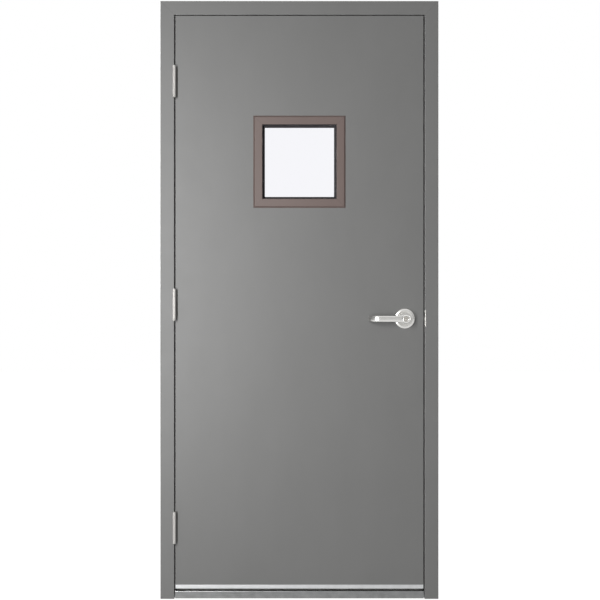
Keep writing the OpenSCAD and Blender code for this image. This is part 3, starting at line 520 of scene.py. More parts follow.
@dataclass(frozen=True)
class FloatGlass(Finish):
    """Clear float glass of 6 mm: nearly colourless, with a sharp faint reflection."""

    ior: float = 1.52
    film_mm: float = 45.0

    def shader(self, tree: bpy.types.NodeTree, place: bpy.types.NodeSocket) -> bpy.types.Node:
        """Let light through, with the slightest film of dust.

        Args:
            tree: Node tree of the material.
            place: Object coordinates.

        Returns:
            The Principled node, linked up.
        """
        film = add_node(
            tree, "ShaderNodeMapRange",
            {
                "Value": unevenness(tree, place, self.film_mm, detail=5.0), **NOISE_SPAN,
                "To Max": self.roughness,
            },
        )
        return add_node(
            tree, "ShaderNodeBsdfPrincipled",
            {
                "Base Color": linear(self.colour), "Roughness": film.outputs["Result"],
                "IOR": self.ior, "Transmission Weight": 1.0,
            },
        )


PAINT = "#767675"

FINISHES: dict[str, Finish] = {
    # Enamel on the frame: a broad soft sheen, and the head's two mitres as hairlines
    "frame_paint": AlkydPaint("enamel_on_frame", PAINT, 0.44, mitre_z=OPENING_H - OPENING_W / 2),
    # The same enamel on the door: a little glossier, so that the tall lamp shows in it
    "door_paint": AlkydPaint("enamel_on_door", PAINT, 0.42),
    # Baked bronze enamel on the lite's frame: brown and finer, with four mitres
    "bronze_paint": AlkydPaint(
        "bronze_baked_enamel", "#6c5c57", 0.42, peel_mm=1.2, mitre_z=LITE_Z, four_mitres=True
    ),
    # Primer on reinforcement plates, dust box, stiffeners and the lite's channels: flat grey
    "primed_steel": Primer("shop_primer", "#8b8a84", 0.75),
    # Zinc on the anchors and the lock's inner parts: pale grey with a spangle
    "zinc": ZincPlate("zinc_plate", "#b4b7b6", 0.42),
    # Satin chrome on hinges, strike, faceplate, turn button and bolt: a wide dull highlight
    "satin_steel": SatinPlate("satin_chrome_plate", "#b4b2af", 0.5),
    # Satin chrome on levers and roses: polished further, with small hard highlights
    "satin_cast": SatinPlate("satin_chrome_casting", "#e4e3e0", 0.22, grain=(40.0, 1.0, 1.0)),
    # Satin chrome on turned brass, for cylinder and key plug: slightly warm
    "satin_brass": SatinPlate("satin_chrome_on_brass", "#c6c2bb", 0.28, grain=(1.0, 40.0, 1.0)),
    # Plated screw steel: smooth, with hardly any grain
    "screws": SatinPlate("plated_screw_steel", "#c2c0bc", 0.33, grain=(4.0, 4.0, 4.0), bump=0.06),
    # Mill finish on the door shoe: pale, with die lines along the extrusion
    "mill_aluminium": SatinPlate(
        "mill_finish_extrusion", "#c9cacb", 0.4, grain=(160.0, 1.0, 1.0), grain_mm=0.5, blotch=0.09
    ),
    # Aluminium on the threshold: a darker grey than the shoe's, and blotchy
    "worn_aluminium": SatinPlate(
        "dull_grey_extrusion", "#8f9090", 0.3, grain=(120.0, 1.0, 1.0), grain_mm=0.8, blotch=0.2
    ),
    # Float glass: clear, so that the pale room behind shows through
    "glass": FloatGlass("float_glass", "#f8f8fc", 0.02),
    # Glazing tape and bead: a near black line round the glass
    "black_tape": Rubber("glazing_tape", "#2f2c2f", 0.85, pore_mm=0.6),
    # Black rubber of the blocks under the glass
    "black_rubber": Rubber("black_epdm", "#282728", 0.7),
    # Grey rubber of the jamb's bumpers and the door shoe's seal
    "grey_rubber": Rubber("grey_epdm", "#c6c6c3", 0.72),
}


@cache
def palette(slot: str) -> bpy.types.Material:
    """Return the material of a slot, built the first time that it is asked for."""
    return FINISHES[slot].material()


def rounded(points: np.ndarray, radius: float, steps: int = 8) -> np.ndarray:
    """Round the inner corners of an open profile with arcs.

    At a corner p whose sides turn by a, the arc of radius r has its centre at distance
    r / cos(a / 2) from p along the corner's bisector, and it spans a on both tangents. The
    radius shrinks where a side is shorter than two arcs need.

    Args:
        points: Corners of the profile, one row each.
        radius: Radius of the arcs.
        steps: Points on each arc.

    Returns:
        Points of the rounded profile, one row each.
    """
    p = np.asarray(points, float)
    sides = np.diff(p, axis=0)
    length = np.linalg.norm(sides, axis=1)
    u = sides / length[:, None]
    d0, d1 = u[:-1], u[1:]
    turn = np.arctan2(d0[:, 0] * d1[:, 1] - d0[:, 1] * d1[:, 0], (d0 * d1).sum(axis=1))
    half = np.abs(turn) / 2
    room = ARC_ROOM * np.minimum(length[:-1], length[1:])
    r = np.minimum(radius, room / np.maximum(np.tan(half), TINY))
    bisector = (d1 - d0) / np.maximum(np.linalg.norm(d1 - d0, axis=1), TINY)[:, None]
    centre = p[1:-1] + bisector * (r / np.cos(half))[:, None]
    angle = turn[:, None] / 2 * np.linspace(-1, 1, steps)[None]
    c, s = np.cos(angle), np.sin(angle)
    ex, ey = -bisector[:, :1], -bisector[:, 1:]
    arc = np.stack([ex * c - ey * s, ex * s + ey * c], axis=-1) * r[:, None, None]
    return np.vstack([p[:1], (centre[:, None] + arc).reshape(-1, 2), p[-1:]])


def grid_faces(rows: int, columns: int, start: int = 0) -> np.ndarray:
    """Number the quads of a grid of points whose rows close on themselves.

    Args:
        rows: Rows of points.
        columns: Points in each row.
        start: Number of the grid's first point.

    Returns:
        The four point numbers of each quad.
    """
    index = start + np.arange(rows * columns).reshape(rows, columns)
    after = np.roll(index, -1, axis=1)
    return np.stack([index[:-1], after[:-1], after[1:], index[1:]], axis=-1).reshape(-1, 4)


def revolved(profile: np.ndarray, segments: int) -> tuple[np.ndarray, np.ndarray]:
    """Turn a profile about the axis that stands out of the door.

    A point (r, h) of the profile becomes (r cos t, h, r sin t) for t round the circle.

    Args:
        profile: Radius and height of each point, one row each.
        segments: Points round the circle.

    Returns:
        Vertices and quads.
    """
    t = np.linspace(0, 2 * np.pi, segments, endpoint=False)
    r, h = profile[:, :1], profile[:, 1:]
    points = np.stack([r * np.cos(t), h + 0 * t, r * np.sin(t)], axis=-1)
    return points.reshape(-1, 3), grid_faces(len(profile), segments)


def on_face(verts: np.ndarray, side: Side) -> np.ndarray:
    """Move points given from the lock's axis and the door's face to their place on the door.

    Args:
        verts: Points whose Y is the height above the door's face.
        side: Face of the door.

    Returns:
        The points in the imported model's frame.
    """
    face = DOOR_FRONT if side is Side.OUTSIDE else DOOR_BACK
    return verts * (1, side.value, 1) + (LOCK_X, face, LOCK_Z)


def add_piece(
    name: str, parts: list[tuple[np.ndarray, np.ndarray]], body: str, slot: str, replaced: str,
    sharp_deg: float = 38.0,
) -> bpy.types.Object:
    """Make one object of closed surfaces, welded at their poles with normals outwards.

    Args:
        name: Name of the piece.
        parts: Vertices and quads of each surface.
        body: Body that carries the piece.
        slot: Finish that it takes.
        replaced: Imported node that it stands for.
        sharp_deg: Angle past which an edge is shaded sharp.

    Returns:
        The new object.
    """
    start = np.cumsum([0] + [len(v) for v, _ in parts])
    verts = np.vstack([v for v, _ in parts])
    faces = np.vstack([f + s for (_, f), s in zip(parts, start)])
    mesh = bpy.data.meshes.new(name)
    mesh.from_pydata(verts.tolist(), [], faces.tolist())
    work = bmesh.new()
    work.from_mesh(mesh)
    bmesh.ops.remove_doubles(work, verts=work.verts, dist=WELD)
    bmesh.ops.dissolve_degenerate(work, edges=work.edges, dist=WELD)
    rims = [e for e in work.edges if e.is_boundary]
    bmesh.ops.holes_fill(work, edges=rims, sides=0)
    bmesh.ops.recalc_face_normals(work, faces=work.faces)
    work.to_mesh(mesh)
    work.free()
    mesh.shade_smooth()
    mesh.set_sharp_from_angle(angle=math.radians(sharp_deg))
    piece = bpy.data.objects.new(name, mesh)
    bpy.context.scene.collection.objects.link(piece)
    piece.data.materials.append(palette(slot))
    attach(piece, body)
    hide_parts(replaced)
    return piece


@dataclass
class SheetMetal:
    """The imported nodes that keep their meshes: jambs, head, skins, channels and the rest."""

    def dress(self) -> int:
        """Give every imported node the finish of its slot.

        Returns:
            How many nodes were dressed.
        """
        slots = {row["node"]: row["material_slot"] for row in frame["record"]["subparts"]}
        for name, node in frame["nodes"].items():
            node.data.materials.clear()
            node.data.materials.append(palette(slots[name]))
        return len(slots)


@dataclass
class Rose:
    """Pressed rose under a lever: a cup with a straight rim, a sloped band and a dished face."""

    side: Side
    radius: float = 38.1 * MM
    height: float = 9.5 * MM
    rim_h: float = 3.99 * MM
    band_outer: float = 2.9 * MM
    band_inner: float = 8.9 * MM
    band_fall: float = 1.8 * MM
    dish: float = 1.2 * MM
    dish_most: float = 0.9
    dish_r: float = 21.336 * MM
    bore: float = 10.0 * MM
    wall: float = 1.2 * MM
    inner_rim_h: float = 3.8 * MM
    inner_band: float = 5.7 * MM
    inner_drop: float = 1.8 * MM
    bend: float = 3.4 * MM
    segments: int = 128

    def profile(self) -> np.ndarray:
        """Draw the closed section: the outer face from the rim to the bore, then back inside.

        The band lies between two insets from the rim and falls by band_fall towards it. From
        its inner edge the face falls to the bore by the dish, most of it as far as dish_r. The
        inner face runs about a wall's thickness under the outer one.

        Returns:
            Radius and height of each point, one row each.
        """
        outer = np.array([
            (self.radius, 0.0),
            (self.radius, self.rim_h),
            (self.radius - self.band_outer, self.height - self.band_fall),
            (self.radius - self.band_inner, self.height),
            (self.dish_r, self.height - self.dish * self.dish_most),
            (self.bore + self.wall, self.height - self.dish),
            (self.bore, self.height - self.dish),
        ])
        inner = np.array([
            (self.bore, self.height - self.dish - self.wall),
            (self.dish_r, self.height - self.dish - self.wall),
            (self.radius - self.inner_band, self.height - self.inner_drop),
            (self.radius - self.wall, self.inner_rim_h),
            (self.radius - self.wall, 0.0),
            (self.radius, 0.0),
        ])
        return np.vstack([rounded(outer, self.bend), inner])

    def build(self) -> bpy.types.Object:
        """Revolve the section and set it on its face of the door.

        Returns:
            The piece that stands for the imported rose.
        """
        verts, faces = revolved(self.profile(), self.segments)
        node = f"{self.side.name.lower()}_rose"
        part = (on_face(verts, self.side), faces)
        return add_piece(f"{node}_shell", [part], "door", "satin_cast", node)


@dataclass
class Lever:
    """Cast lever: a turned hub and a bar that flares from it and returns to the door.

    The hub stands on a bevelled collar, draws in to a waist and widens to a crowned head,
    whose bore takes the key cylinder or the turn button. The bar's face lies bar_under the
    head's, and neck and head are measured down from the bar's middle.
    """

    side: Side
    bore: float
    reach: float = 135 * MM
    bar_h: float = 22.3 * MM
    bar_t: float = 11 * MM
    bar_under: float = 2 * MM
    bar_start: float = 2 * MM
    out: float = 66 * MM
    curve: float = 35 * MM
    tip_gap: float = 13 * MM
    hub_r: float = 14 * MM
    hub_start: float = 10 * MM
    bevel: float = 1 * MM
    collar_h: float = 6 * MM
    waist_h: float = 13 * MM
    waist_in: float = 2 * MM
    neck_in: float = 1.6 * MM
    neck_under: float = 15 * MM
    head_out: float = 3 * MM
    head_under: float = 4 * MM
    crown_r: float = 8 * MM
    crown_w: float = 2.4 * MM
    crown_fall: float = 3.2 * MM
    bore_gap: float = 0.15 * MM
    bore_edge: float = 0.9 * MM
    bore_depth: float = 8 * MM
    hub_bend: float = 5 * MM
    flare_h: float = 30 * MM
    flare_end: float = 46 * MM
    edge: float = 1.6 * MM
    squareness: float = 3.4
    hub_segments: int = 96
    bar_segments: int = 72
    route_points: tuple[int, int, int, int, int] = (26, 14, 25, 8, 7)

    @property
    def bar_y(self) -> float:
        """Height of the bar's middle above the door's face."""
        return self.out - self.bar_t / 2 - self.bar_under

    def hub(self) -> tuple[np.ndarray, np.ndarray]:
        """Revolve the hub's profile, from the middle of its foot to the bottom of its bore.

        Returns:
            Vertices and quads, with Y as the height above the door's face.
        """
        r, foot, head, top = self.hub_r, self.hub_start, self.hub_r + self.head_out, self.out
        bore = self.bore + self.bore_gap
        corners = np.array([
            (0.0, foot),
            (r - self.bevel, foot),
            (r, foot + self.bevel),
            (r, foot + self.collar_h),
            (r - self.waist_in, foot + self.waist_h),
            (r - self.neck_in, self.bar_y - self.neck_under),
            (head, self.bar_y - self.head_under),
            (head, top - self.crown_fall),
            (max(self.bore, self.crown_r) + self.crown_w, top),
            (self.bore + self.bore_edge, top),
            (bore, top - self.bore_edge),
            (bore, top - self.bore_depth),
            (0.0, top - self.bore_depth),
        ])
        return revolved(rounded(corners, self.hub_bend), self.hub_segments)

    def route(self) -> tuple[np.ndarray, np.ndarray, np.ndarray]:
        """Follow the bar's middle: straight out, a quarter turn, then back to the door.

        The route's five stretches are the flare, the straight, the turn, the drop and the
        rounded tip, with the numbers of points that route_points gives.

        Returns:
            Distance along the route, its points and its outward normals, both in (x, y).
        """
        straight = self.reach - self.curve - self.bar_t / 2
        drop = self.bar_y - self.curve - self.tip_gap
        quarter = self.curve * math.pi / 2
        end = straight + quarter + drop
        flare, level, bend, down, tip = self.route_points
        s = np.concatenate([
            np.linspace(self.bar_start, self.flare_end, flare),
            np.linspace(self.flare_end, straight, level)[1:],
            np.linspace(straight, straight + quarter, bend)[1:],
            np.linspace(straight + quarter, end - self.edge, down)[1:],
            end - self.edge * (1 - np.sin(np.linspace(0, np.pi / 2, tip)))[1:],
        ])
        turn = np.clip((s - straight) / self.curve, 0, math.pi / 2)
        fall = np.clip(s - straight - quarter, 0, None)
        x = -np.minimum(s, straight) - self.curve * np.sin(turn)
        y = self.bar_y - self.curve * (1 - np.cos(turn)) - fall
        return s, np.stack([x, y], axis=1), np.stack([-np.sin(turn), np.cos(turn)], axis=1)

    def bar(self) -> tuple[np.ndarray, np.ndarray]:
        """Carry a superellipse along the route.

        A section point is (b sgn(cos t)|cos t|^(2/n), a sgn(sin t)|sin t|^(2/n)) across the
        thickness and up the height. The half height a falls from the flare to the bar by a
        smooth step, and both shrink along a quarter circle at the tip.

        Returns:
            Vertices and quads, with Y as the height above the door's face.
        """
        s, middle, normal = self.route()
        f = np.clip(s / self.flare_end, 0, 1)
        ease = f * f * (3 - 2 * f)
        left = np.clip(1 - (s[-1] - s) / self.edge, 0, 1)
        round_off = self.edge * (1 - np.sqrt(np.clip(1 - left ** 2, 0, None)))
        a = (self.flare_h + (self.bar_h - self.flare_h) * ease) / 2 - round_off
        b = self.bar_t / 2 - round_off
        t = np.linspace(0, 2 * np.pi, self.bar_segments, endpoint=False)
        power = 2 / self.squareness
        across = np.sign(np.cos(t)) * np.abs(np.cos(t)) ** power
        up = np.sign(np.sin(t)) * np.abs(np.sin(t)) ** power
        plan = middle[:, None] + normal[:, None] * (b[:, None] * across)[..., None]
        points = np.dstack([plan, a[:, None] * up])
        return points.reshape(-1, 3), grid_faces(len(s), self.bar_segments)

    def build(self) -> bpy.types.Object:
        """Join hub and bar and set them on their face of the door.

        Returns:
            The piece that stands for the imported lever.
        """
        node = f"{self.side.name.lower()}_lever"
        parts = [(on_face(v, self.side), f) for v, f in (self.hub(), self.bar())]
        return add_piece(f"{node}_casting", parts, f"{node}_set", "satin_cast", node)


@dataclass(frozen=True)
class Screw:
    """One size of screw: a head with a cross recess, and a shank.

    The head's top is a square grid laid on a disc: a point (u, v) of the square goes to
    (u sqrt(1 - v^2 / 2), v sqrt(1 - u^2 / 2)), and the drive sinks the middle of the grid.
    Below it the grid's rim is carried down the cone or the pan's side to the shank's end.
    The grid's lines and the drive's arm and reach are shares of the head's radius.
    """

    head_r: float
    head_h: float
    shank_r: float
    length: float
    dome: float = 0.0
    pan: bool = False
    lines: tuple[float, ...] = (
        -1, -0.9, -0.74, -0.56, -0.5, -0.3, -0.17, -0.12,
        0.12, 0.17, 0.3, 0.5, 0.56, 0.74, 0.9, 1,
    )
    arm: float = 0.15
    arm_reach: float = 0.53
    drive_depth: float = 0.42
    drive_rise: float = 0.35
    deepest: float = 0.75
    shoulder: float = 0.01 * MM

    def top(self) -> tuple[np.ndarray, np.ndarray]:
        """Shape the head's top with its cross recess.

        The recess is drive_depth times the radius deep in the middle and rises by drive_rise
        of that per radius outwards. It is never deeper than the share deepest of the head.

        Returns:
            Points in rows of the grid, and quads.
        """
        u, v = np.meshgrid(self.lines, self.lines)
        x = u * np.sqrt(1 - v ** 2 / 2)
        y = v * np.sqrt(1 - u ** 2 / 2)
        near, far = np.minimum(np.abs(u), np.abs(v)), np.maximum(np.abs(u), np.abs(v))
        inside = (near < self.arm) & (far < self.arm_reach)
        rise = np.where(inside, 1 - self.drive_rise * np.hypot(u, v), 0)
        depth = np.minimum(self.drive_depth * self.head_r * rise, self.head_h * self.deepest)
        z = self.dome * (1 - np.minimum(x ** 2 + y ** 2, 1)) - depth
        points = np.stack([x * self.head_r, y * self.head_r, z], axis=-1)
        n = len(self.lines)
        index = np.arange(n * n).reshape(n, n)
        quads = np.stack([index[:-1, :-1], index[:-1, 1:], index[1:, 1:], index[1:, :-1]], -1)
        return points, quads.reshape(-1, 4)

    def mesh(self) -> tuple[np.ndarray, np.ndarray]:
        """Join the head's top and the sides below it, from its rim to the shank's end.

        Returns:
            Vertices and quads of one screw, whose top faces +Z at the origin.
        """
        top, quads = self.top()
        rim = np.vstack([top[0, :-1], top[:-1, -1], top[-1, :0:-1], top[:0:-1, 0]])
        unit = rim[:, :2] / self.head_r
        under = self.head_r if self.pan else self.shank_r
        levels = np.array([
            (self.head_r, 0.0),
            (under, -self.head_h),
            (self.shank_r, -self.head_h - self.shoulder),
            (self.shank_r, -self.length + self.shank_r),
            (0.0, -self.length),
        ])
        ring = np.dstack([
            unit[None, :, 0] * levels[:, :1], unit[None, :, 1] * levels[:, :1],
            np.repeat(levels[:, 1:], len(unit), axis=1),
        ])
        sides = grid_faces(len(levels), len(unit), top.size // 3)
        return np.vstack([top.reshape(-1, 3), ring.reshape(-1, 3)]), np.vstack([quads, sides])

    def placed(
        self, places: np.ndarray, out: tuple[float, float, float], turns: np.ndarray
    ) -> list[tuple[np.ndarray, np.ndarray]]:
        """Copy the screw to its places.

        Args:
            places: Centre of each head's top.
            out: Direction in which the heads face.
            turns: Angle of each drive about its own axis, in radians.

        Returns:
            Vertices and quads of all the screws, as one surface.
        """
        verts, faces = self.mesh()
        z = np.array(out, float)
        x = np.cross((0.0, 0.0, 1.0), z)
        x /= np.linalg.norm(x)
        y = np.cross(z, x)
        c, s = np.cos(turns)[:, None, None], np.sin(turns)[:, None, None]
        px, py = verts[None, :, :1], verts[None, :, 1:2]
        points = ((c * px - s * py) * x + (s * px + c * py) * y + verts[None, :, 2:] * z
                  + np.asarray(places, float)[:, None])
        index = faces[None] + (np.arange(len(points)) * len(verts))[:, None, None]
        return [(points.reshape(-1, 3), index.reshape(-1, 4))]


@dataclass
class HingeScrews:
    """Flat head screws of the three hinges, one piece for each leaf side.

    The rows are shares of the hinge's height. The screws stand at the two insets from the
    leaf's far edge by turns.
    """

    rows: tuple[float, ...] = (-0.37, -0.13, 0.13, 0.37)
    height: float = 114.3 * MM
    leaf_len: float = 57.15 * MM
    insets: tuple[float, float] = (11 * MM, 25 * MM)
    gap: float = 3.2 * MM
    screw: Screw = Screw(head_r=5.25 * MM, head_h=2.6 * MM, shank_r=2.65 * MM, length=12.8 * MM)

    def places(self, side: int) -> np.ndarray:
        """Set out the screws of all three hinges on one side of the pins.

        Args:
            side: -1 for the frame's leaves, 1 for the door's.

        Returns:
            Centre of each head's top, one row each.
        """
        y = PIN_Y + self.leaf_len - np.array(self.insets * 2)
        x = PIN_X + side * (self.gap / 2 + SUNK)
        z = np.array(HINGE_ZS)[:, None] + np.array(self.rows) * self.height
        return np.stack([np.full(z.shape, x), np.broadcast_to(y, z.shape), z], -1).reshape(-1, 3)

    def build(self) -> list[bpy.types.Object]:
        """Build the screws of both sides.

        Returns:
            The frame's piece and the door's.
        """
        made = []
        for side, body, leaf in ((-1, "frame", "frame_leaf"), (1, "door", "door_leaf")):
            places, node = self.places(side), f"{leaf}_screws"
            parts = self.screw.placed(places, (-side, 0, 0), np.arange(len(places)) * DRIVE_TURN)
            made.append(add_piece(f"{node}_cross_head", parts, body, "screws", node))
        return made


@dataclass
class SmallScrews:
    """Screws of the strike, the latch's faceplate, the lite frame and the door shoe.

    The strike's and faceplate's screws stand at an inset from the plate's ends, the lite's at
    the offsets lite_at and lite_far from its middle, and the shoe's at even steps.
    """

    strike_h: float = 123.8 * MM
    strike_inset: float = 9.5 * MM
    strike_screw: Screw = Screw(4.15 * MM, 1.95 * MM, 2.2 * MM, 8.8 * MM)
    strike_turns: tuple[float, float] = (0.4, 1.3)
    faceplate_h: float = 57.15 * MM
    faceplate_inset: float = 7 * MM
    faceplate_screw: Screw = Screw(3.75 * MM, 1.75 * MM, 2 * MM, 9.8 * MM)
    faceplate_turns: tuple[float, float] = (0.9, 0.2)
    lite_far: float = 149.2 * MM
    lite_at: float = 91.44 * MM
    lite_frame_t: float = 6.4 * MM
    lite_screw: Screw = Screw(2.8 * MM, 1.0 * MM, 1.7 * MM, 52 * MM)
    shoe_pitch: float = 199.1 * MM
    shoe_z: float = 64.3 * MM
    shoe_t: float = 1.5 * MM
    shoe_screw: Screw = Screw(3.8 * MM, 1.0 * MM, 2 * MM, 9 * MM, dome=0.3 * MM, pan=True)

    def strike(self) -> bpy.types.Object:
        """Build the two screws of the strike.

        Returns:
            Their one piece.
        """
        z = self.strike_h / 2 - self.strike_inset
        places = np.array([(OPENING_W / 2 + SUNK, DOOR_MID, LOCK_Z + z * s) for s in (-1, 1)])
        parts = self.strike_screw.placed(places, (-1, 0, 0), np.array(self.strike_turns))
        return add_piece("strike_screws_cross_head", parts, "frame", "screws", "strike_screws")

    def faceplate(self) -> bpy.types.Object:
        """Build the two screws of the latch's faceplate.

        Returns:
            Their one piece.
        """
        z = self.faceplate_h / 2 - self.faceplate_inset
        places = np.array([(DOOR_HALF - SUNK, DOOR_MID, LOCK_Z + z * s) for s in (-1, 1)])
        parts = self.faceplate_screw.placed(places, (1, 0, 0), np.array(self.faceplate_turns))
        return add_piece("faceplate_screws_cross_head", parts, "door", "screws", "faceplate_screws")

    def lite(self) -> bpy.types.Object:
        """Build the eight screws that draw the lite's two frames together, from the back.

        Returns:
            Their one piece.
        """
        y = DOOR_BACK + self.lite_frame_t - SUNK
        u, at = self.lite_far, self.lite_at
        around = [(u, at), (u, -at), (-u, at), (-u, -at), (at, u), (-at, u), (at, -u), (-at, -u)]
        places = np.array([(x, y, LITE_Z + z) for x, z in around])
        parts = self.lite_screw.placed(places, (0, 1, 0), np.arange(len(places)) * DRIVE_TURN)
        return add_piece("lite_screws_cross_head", parts, "door", "screws", "lite_screws")

    def shoe(self) -> bpy.types.Object:
        """Build the five pan head screws of the door shoe.

        Returns:
            Their one piece.
        """
        y = DOOR_BACK + self.shoe_t + self.shoe_screw.head_h
        places = np.array([(i * self.shoe_pitch, y, self.shoe_z) for i in range(-2, 3)])
        parts = self.shoe_screw.placed(places, (0, 1, 0), np.arange(len(places)) * DRIVE_TURN)
        return add_piece("door_shoe_screws_pan_head", parts, "door", "screws", "door_shoe_screws")


@dataclass(frozen=True)
class Lamp:
    """One soft rectangular lamp: where it hangs, what it faces, its width, height and power."""

    name: str
    place: tuple[float, float, float]
    aim: tuple[float, float, float]
    size: tuple[float, float]
    watts: float

    def hang(self) -> bpy.types.Object:
        """Hang the lamp and turn it to its aim.

        Returns:
            The lamp's object.
        """
        data = bpy.data.lights.new(self.name, "AREA")
        data.shape = "RECTANGLE"
        data.size, data.size_y = self.size
        data.energy = self.watts
        lamp = bpy.data.objects.new(self.name, data)
        bpy.context.scene.collection.objects.link(lamp)
        lamp.location = self.place
        towards = np.array(self.aim) - np.array(self.place)
        lamp.rotation_euler = (
            math.atan2(np.hypot(towards[0], towards[1]), -towards[2]), 0.0,
            math.atan2(towards[1], towards[0]) - math.pi / 2,
        )
        return lamp


def sight(tree: bpy.types.NodeTree, rays: bpy.types.Node) -> bpy.types.NodeSocket:
    """Tell rays from the camera, also those that the glass lets through, from all others.

    Args:
        tree: Node tree of the floor or of the world.
        rays: Light Path node in it.

    Returns:
        Socket that is 1 on such a ray and 0 on others.
    """
    return add_node(
        tree, "ShaderNodeMath",
        {0: rays.outputs["Is Camera Ray"], 1: rays.outputs["Is Transmission Ray"]},
        operation="MAXIMUM",
    ).outputs[0]


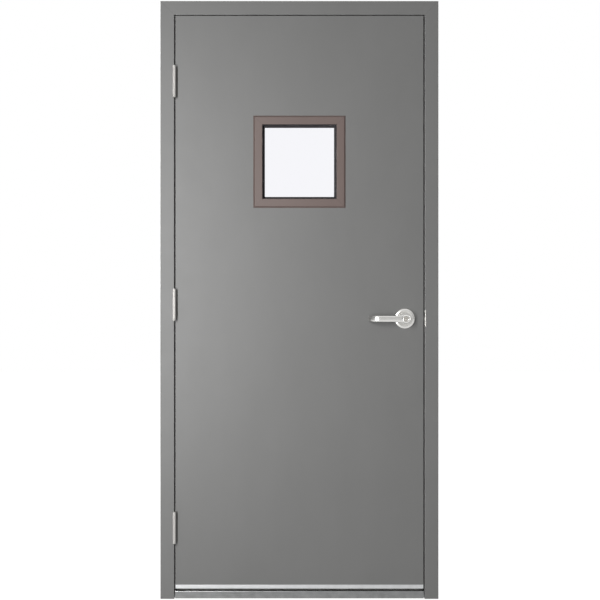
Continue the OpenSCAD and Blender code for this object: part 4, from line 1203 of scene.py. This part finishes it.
@dataclass
class Studio:
    """Pale floor, soft lamps and the camera at the photograph's place.

    Pairs that belong to the floor are for other rays first and for the camera's second.
    """

    distance: float = 4.5
    eye: float = 1.0919
    view_h: float = 2.1918
    shift_px: float = -0.55
    sensor_mm: float = 36.0
    floor_half: float = 14.0
    floor_white: float = 0.9
    floor_glow: tuple[float, float] = (0.95, 1.12)
    floor_colours: tuple[str, str] = ("#8a8a8a", "#f4f4f4")
    ambient: float = 0.22
    room_gloss: float = 0.52
    room_rise: tuple[float, float] = (0.2, 0.7)
    left_gloss: float = 0.45
    left_rise: tuple[float, float] = (-0.65, -0.45)
    view_end: float = 100.0
    # A tall narrow lamp on the left, whose sheen fades across the door, and three wide fills
    lamps: tuple[Lamp, ...] = (
        Lamp(
            "key_left", (-1.20, FRAME_FRONT - 3.2, 1.324), (0.0, FRAME_FRONT, 1.1),
            (0.223, 2.183), 96.0,
        ),
        Lamp("fill_rear", (-1.8, 3.4, 2.2), (0.0, 0.0, 1.1), (2.2, 2.2), 130.0),
        Lamp("fill_right", (3.2, 1.2, 1.6), (0.0, 0.0, 1.0), (1.6, 2.2), 60.0),
        Lamp("fill_left", (-3.2, 1.2, 1.6), (0.0, 0.0, 1.0), (1.6, 2.2), 60.0),
    )

    def floor(self) -> bpy.types.Object:
        """Lay the floor: nearly white to camera and gloss, with the object's shadow kept faintly.

        Other rays meet a matte grey, so that the floor throws little light up.

        Returns:
            The floor's object.
        """
        h = self.floor_half
        mesh = bpy.data.meshes.new("studio_floor")
        mesh.from_pydata([(-h, -h, 0), (h, -h, 0), (h, h, 0), (-h, h, 0)], [], [(0, 1, 2, 3)])
        floor = bpy.data.objects.new("studio_floor", mesh)
        bpy.context.scene.collection.objects.link(floor)
        material = bpy.data.materials.new("studio_floor")
        material.use_nodes = True
        tree = material.node_tree
        tree.nodes.clear()
        rays = add_node(tree, "ShaderNodeLightPath")
        seen = sight(tree, rays)
        to_eye = add_node(
            tree, "ShaderNodeMath", {0: seen, 1: self.floor_white}, operation="MULTIPLY"
        )
        share = add_node(
            tree, "ShaderNodeMath",
            {0: rays.outputs["Is Glossy Ray"], 1: self.floor_white, 2: to_eye.outputs[0]},
            operation="MULTIPLY_ADD", use_clamp=True,
        )
        ground = add_node(
            tree, "ShaderNodeMix",
            {
                MIX_FACTOR: seen, MIX_A: linear(self.floor_colours[0]),
                MIX_B: linear(self.floor_colours[1]),
            },
            data_type="RGBA",
        )
        matte = add_node(tree, "ShaderNodeBsdfDiffuse", {"Color": ground.outputs[MIX_RESULT]})
        glow = add_node(
            tree, "ShaderNodeMapRange",
            {"Value": seen, "To Min": self.floor_glow[0], "To Max": self.floor_glow[1]},
        )
        white = add_node(
            tree, "ShaderNodeEmission",
            {"Color": linear("#ffffff"), "Strength": glow.outputs["Result"]},
        )
        mix = add_node(
            tree, "ShaderNodeMixShader",
            {0: share.outputs[0], 1: matte.outputs[0], 2: white.outputs[0]},
        )
        add_node(tree, "ShaderNodeOutputMaterial", {"Surface": mix.outputs[0]})
        mesh.materials.append(material)
        return floor

    def world(self) -> None:
        """Light the room evenly, and show it white to the camera and through the glass.

        Gloss sees a room that is white overhead and dims to room_gloss at eye level, and by
        left_gloss again far on the left, so that rounded metal shows a darker side.
        """
        world = bpy.data.worlds.new("studio_world")
        bpy.context.scene.world = world
        world.use_nodes = True
        tree = world.node_tree
        tree.nodes.clear()
        rays = add_node(tree, "ShaderNodeLightPath")
        way = add_node(tree, "ShaderNodeTexCoord").outputs["Generated"]
        axes = add_node(tree, "ShaderNodeSeparateXYZ", {"Vector": way})
        level = add_node(
            tree, "ShaderNodeMapRange",
            {
                "Value": axes.outputs["Z"], "To Min": self.room_gloss,
                "From Min": self.room_rise[0], "From Max": self.room_rise[1],
            },
        )
        side = add_node(
            tree, "ShaderNodeMapRange",
            {
                "Value": axes.outputs["X"], "To Min": self.left_gloss,
                "From Min": self.left_rise[0], "From Max": self.left_rise[1],
            },
        )
        shown = add_node(
            tree, "ShaderNodeMath",
            {0: level.outputs["Result"], 1: side.outputs["Result"]}, operation="MULTIPLY",
        )
        ambient, gloss, white = (
            add_node(
                tree, "ShaderNodeBackground", {"Color": linear("#ffffff"), "Strength": strength}
            ).outputs[0]
            for strength in (self.ambient, shown.outputs[0], 1.0)
        )
        lit = add_node(
            tree, "ShaderNodeMixShader", {0: rays.outputs["Is Glossy Ray"], 1: ambient, 2: gloss}
        )
        mix = add_node(
            tree, "ShaderNodeMixShader", {0: sight(tree, rays), 1: lit.outputs[0], 2: white}
        )
        add_node(tree, "ShaderNodeOutputWorld", {"Surface": mix.outputs[0]})

    def camera(self) -> bpy.types.Object:
        """Place the camera: level, on the door's middle, at eye height.

        Its lens shows view_h metres at the frame's front, which lies distance metres away.

        Returns:
            The camera's object.
        """
        data = bpy.data.cameras.new("photo_camera")
        data.sensor_width = data.sensor_height = self.sensor_mm
        data.sensor_fit = "HORIZONTAL"
        data.lens = self.sensor_mm * self.distance / self.view_h
        data.shift_x = -self.shift_px / PHOTO_PX
        data.clip_end = self.view_end
        camera = bpy.data.objects.new("photo_camera", data)
        bpy.context.scene.collection.objects.link(camera)
        camera.location = (0.0, FRAME_FRONT - self.distance, self.eye)
        camera.rotation_euler = (math.pi / 2, 0.0, 0.0)
        bpy.context.scene.camera = camera
        return camera

    def build(self) -> None:
        """Set up the whole studio."""
        bpy.context.scene.view_settings.view_transform = "Standard"
        self.camera()
        self.floor()
        self.world()
        for lamp in self.lamps:
            lamp.hang()


def main() -> None:
    """Build the studio and every sub-assembly."""
    logging.basicConfig(level=logging.INFO, format="%(name)s: %(message)s")
    Studio().build()
    log.info("packed nodes dressed: %d", SheetMetal().dress())
    lock: tuple[Rose | Lever, ...] = (
        Rose(Side.OUTSIDE), Rose(Side.INSIDE),
        Lever(Side.OUTSIDE, bore=8.75 * MM), Lever(Side.INSIDE, bore=4.2 * MM),
    )
    made = [assembly.build() for assembly in lock]
    made += HingeScrews().build()
    small = SmallScrews()
    made += [small.strike(), small.faceplate(), small.lite(), small.shoe()]
    for piece in made:
        log.info("%s: %d faces", piece.name, len(piece.data.polygons))


if __name__ == "__main__":
    main()
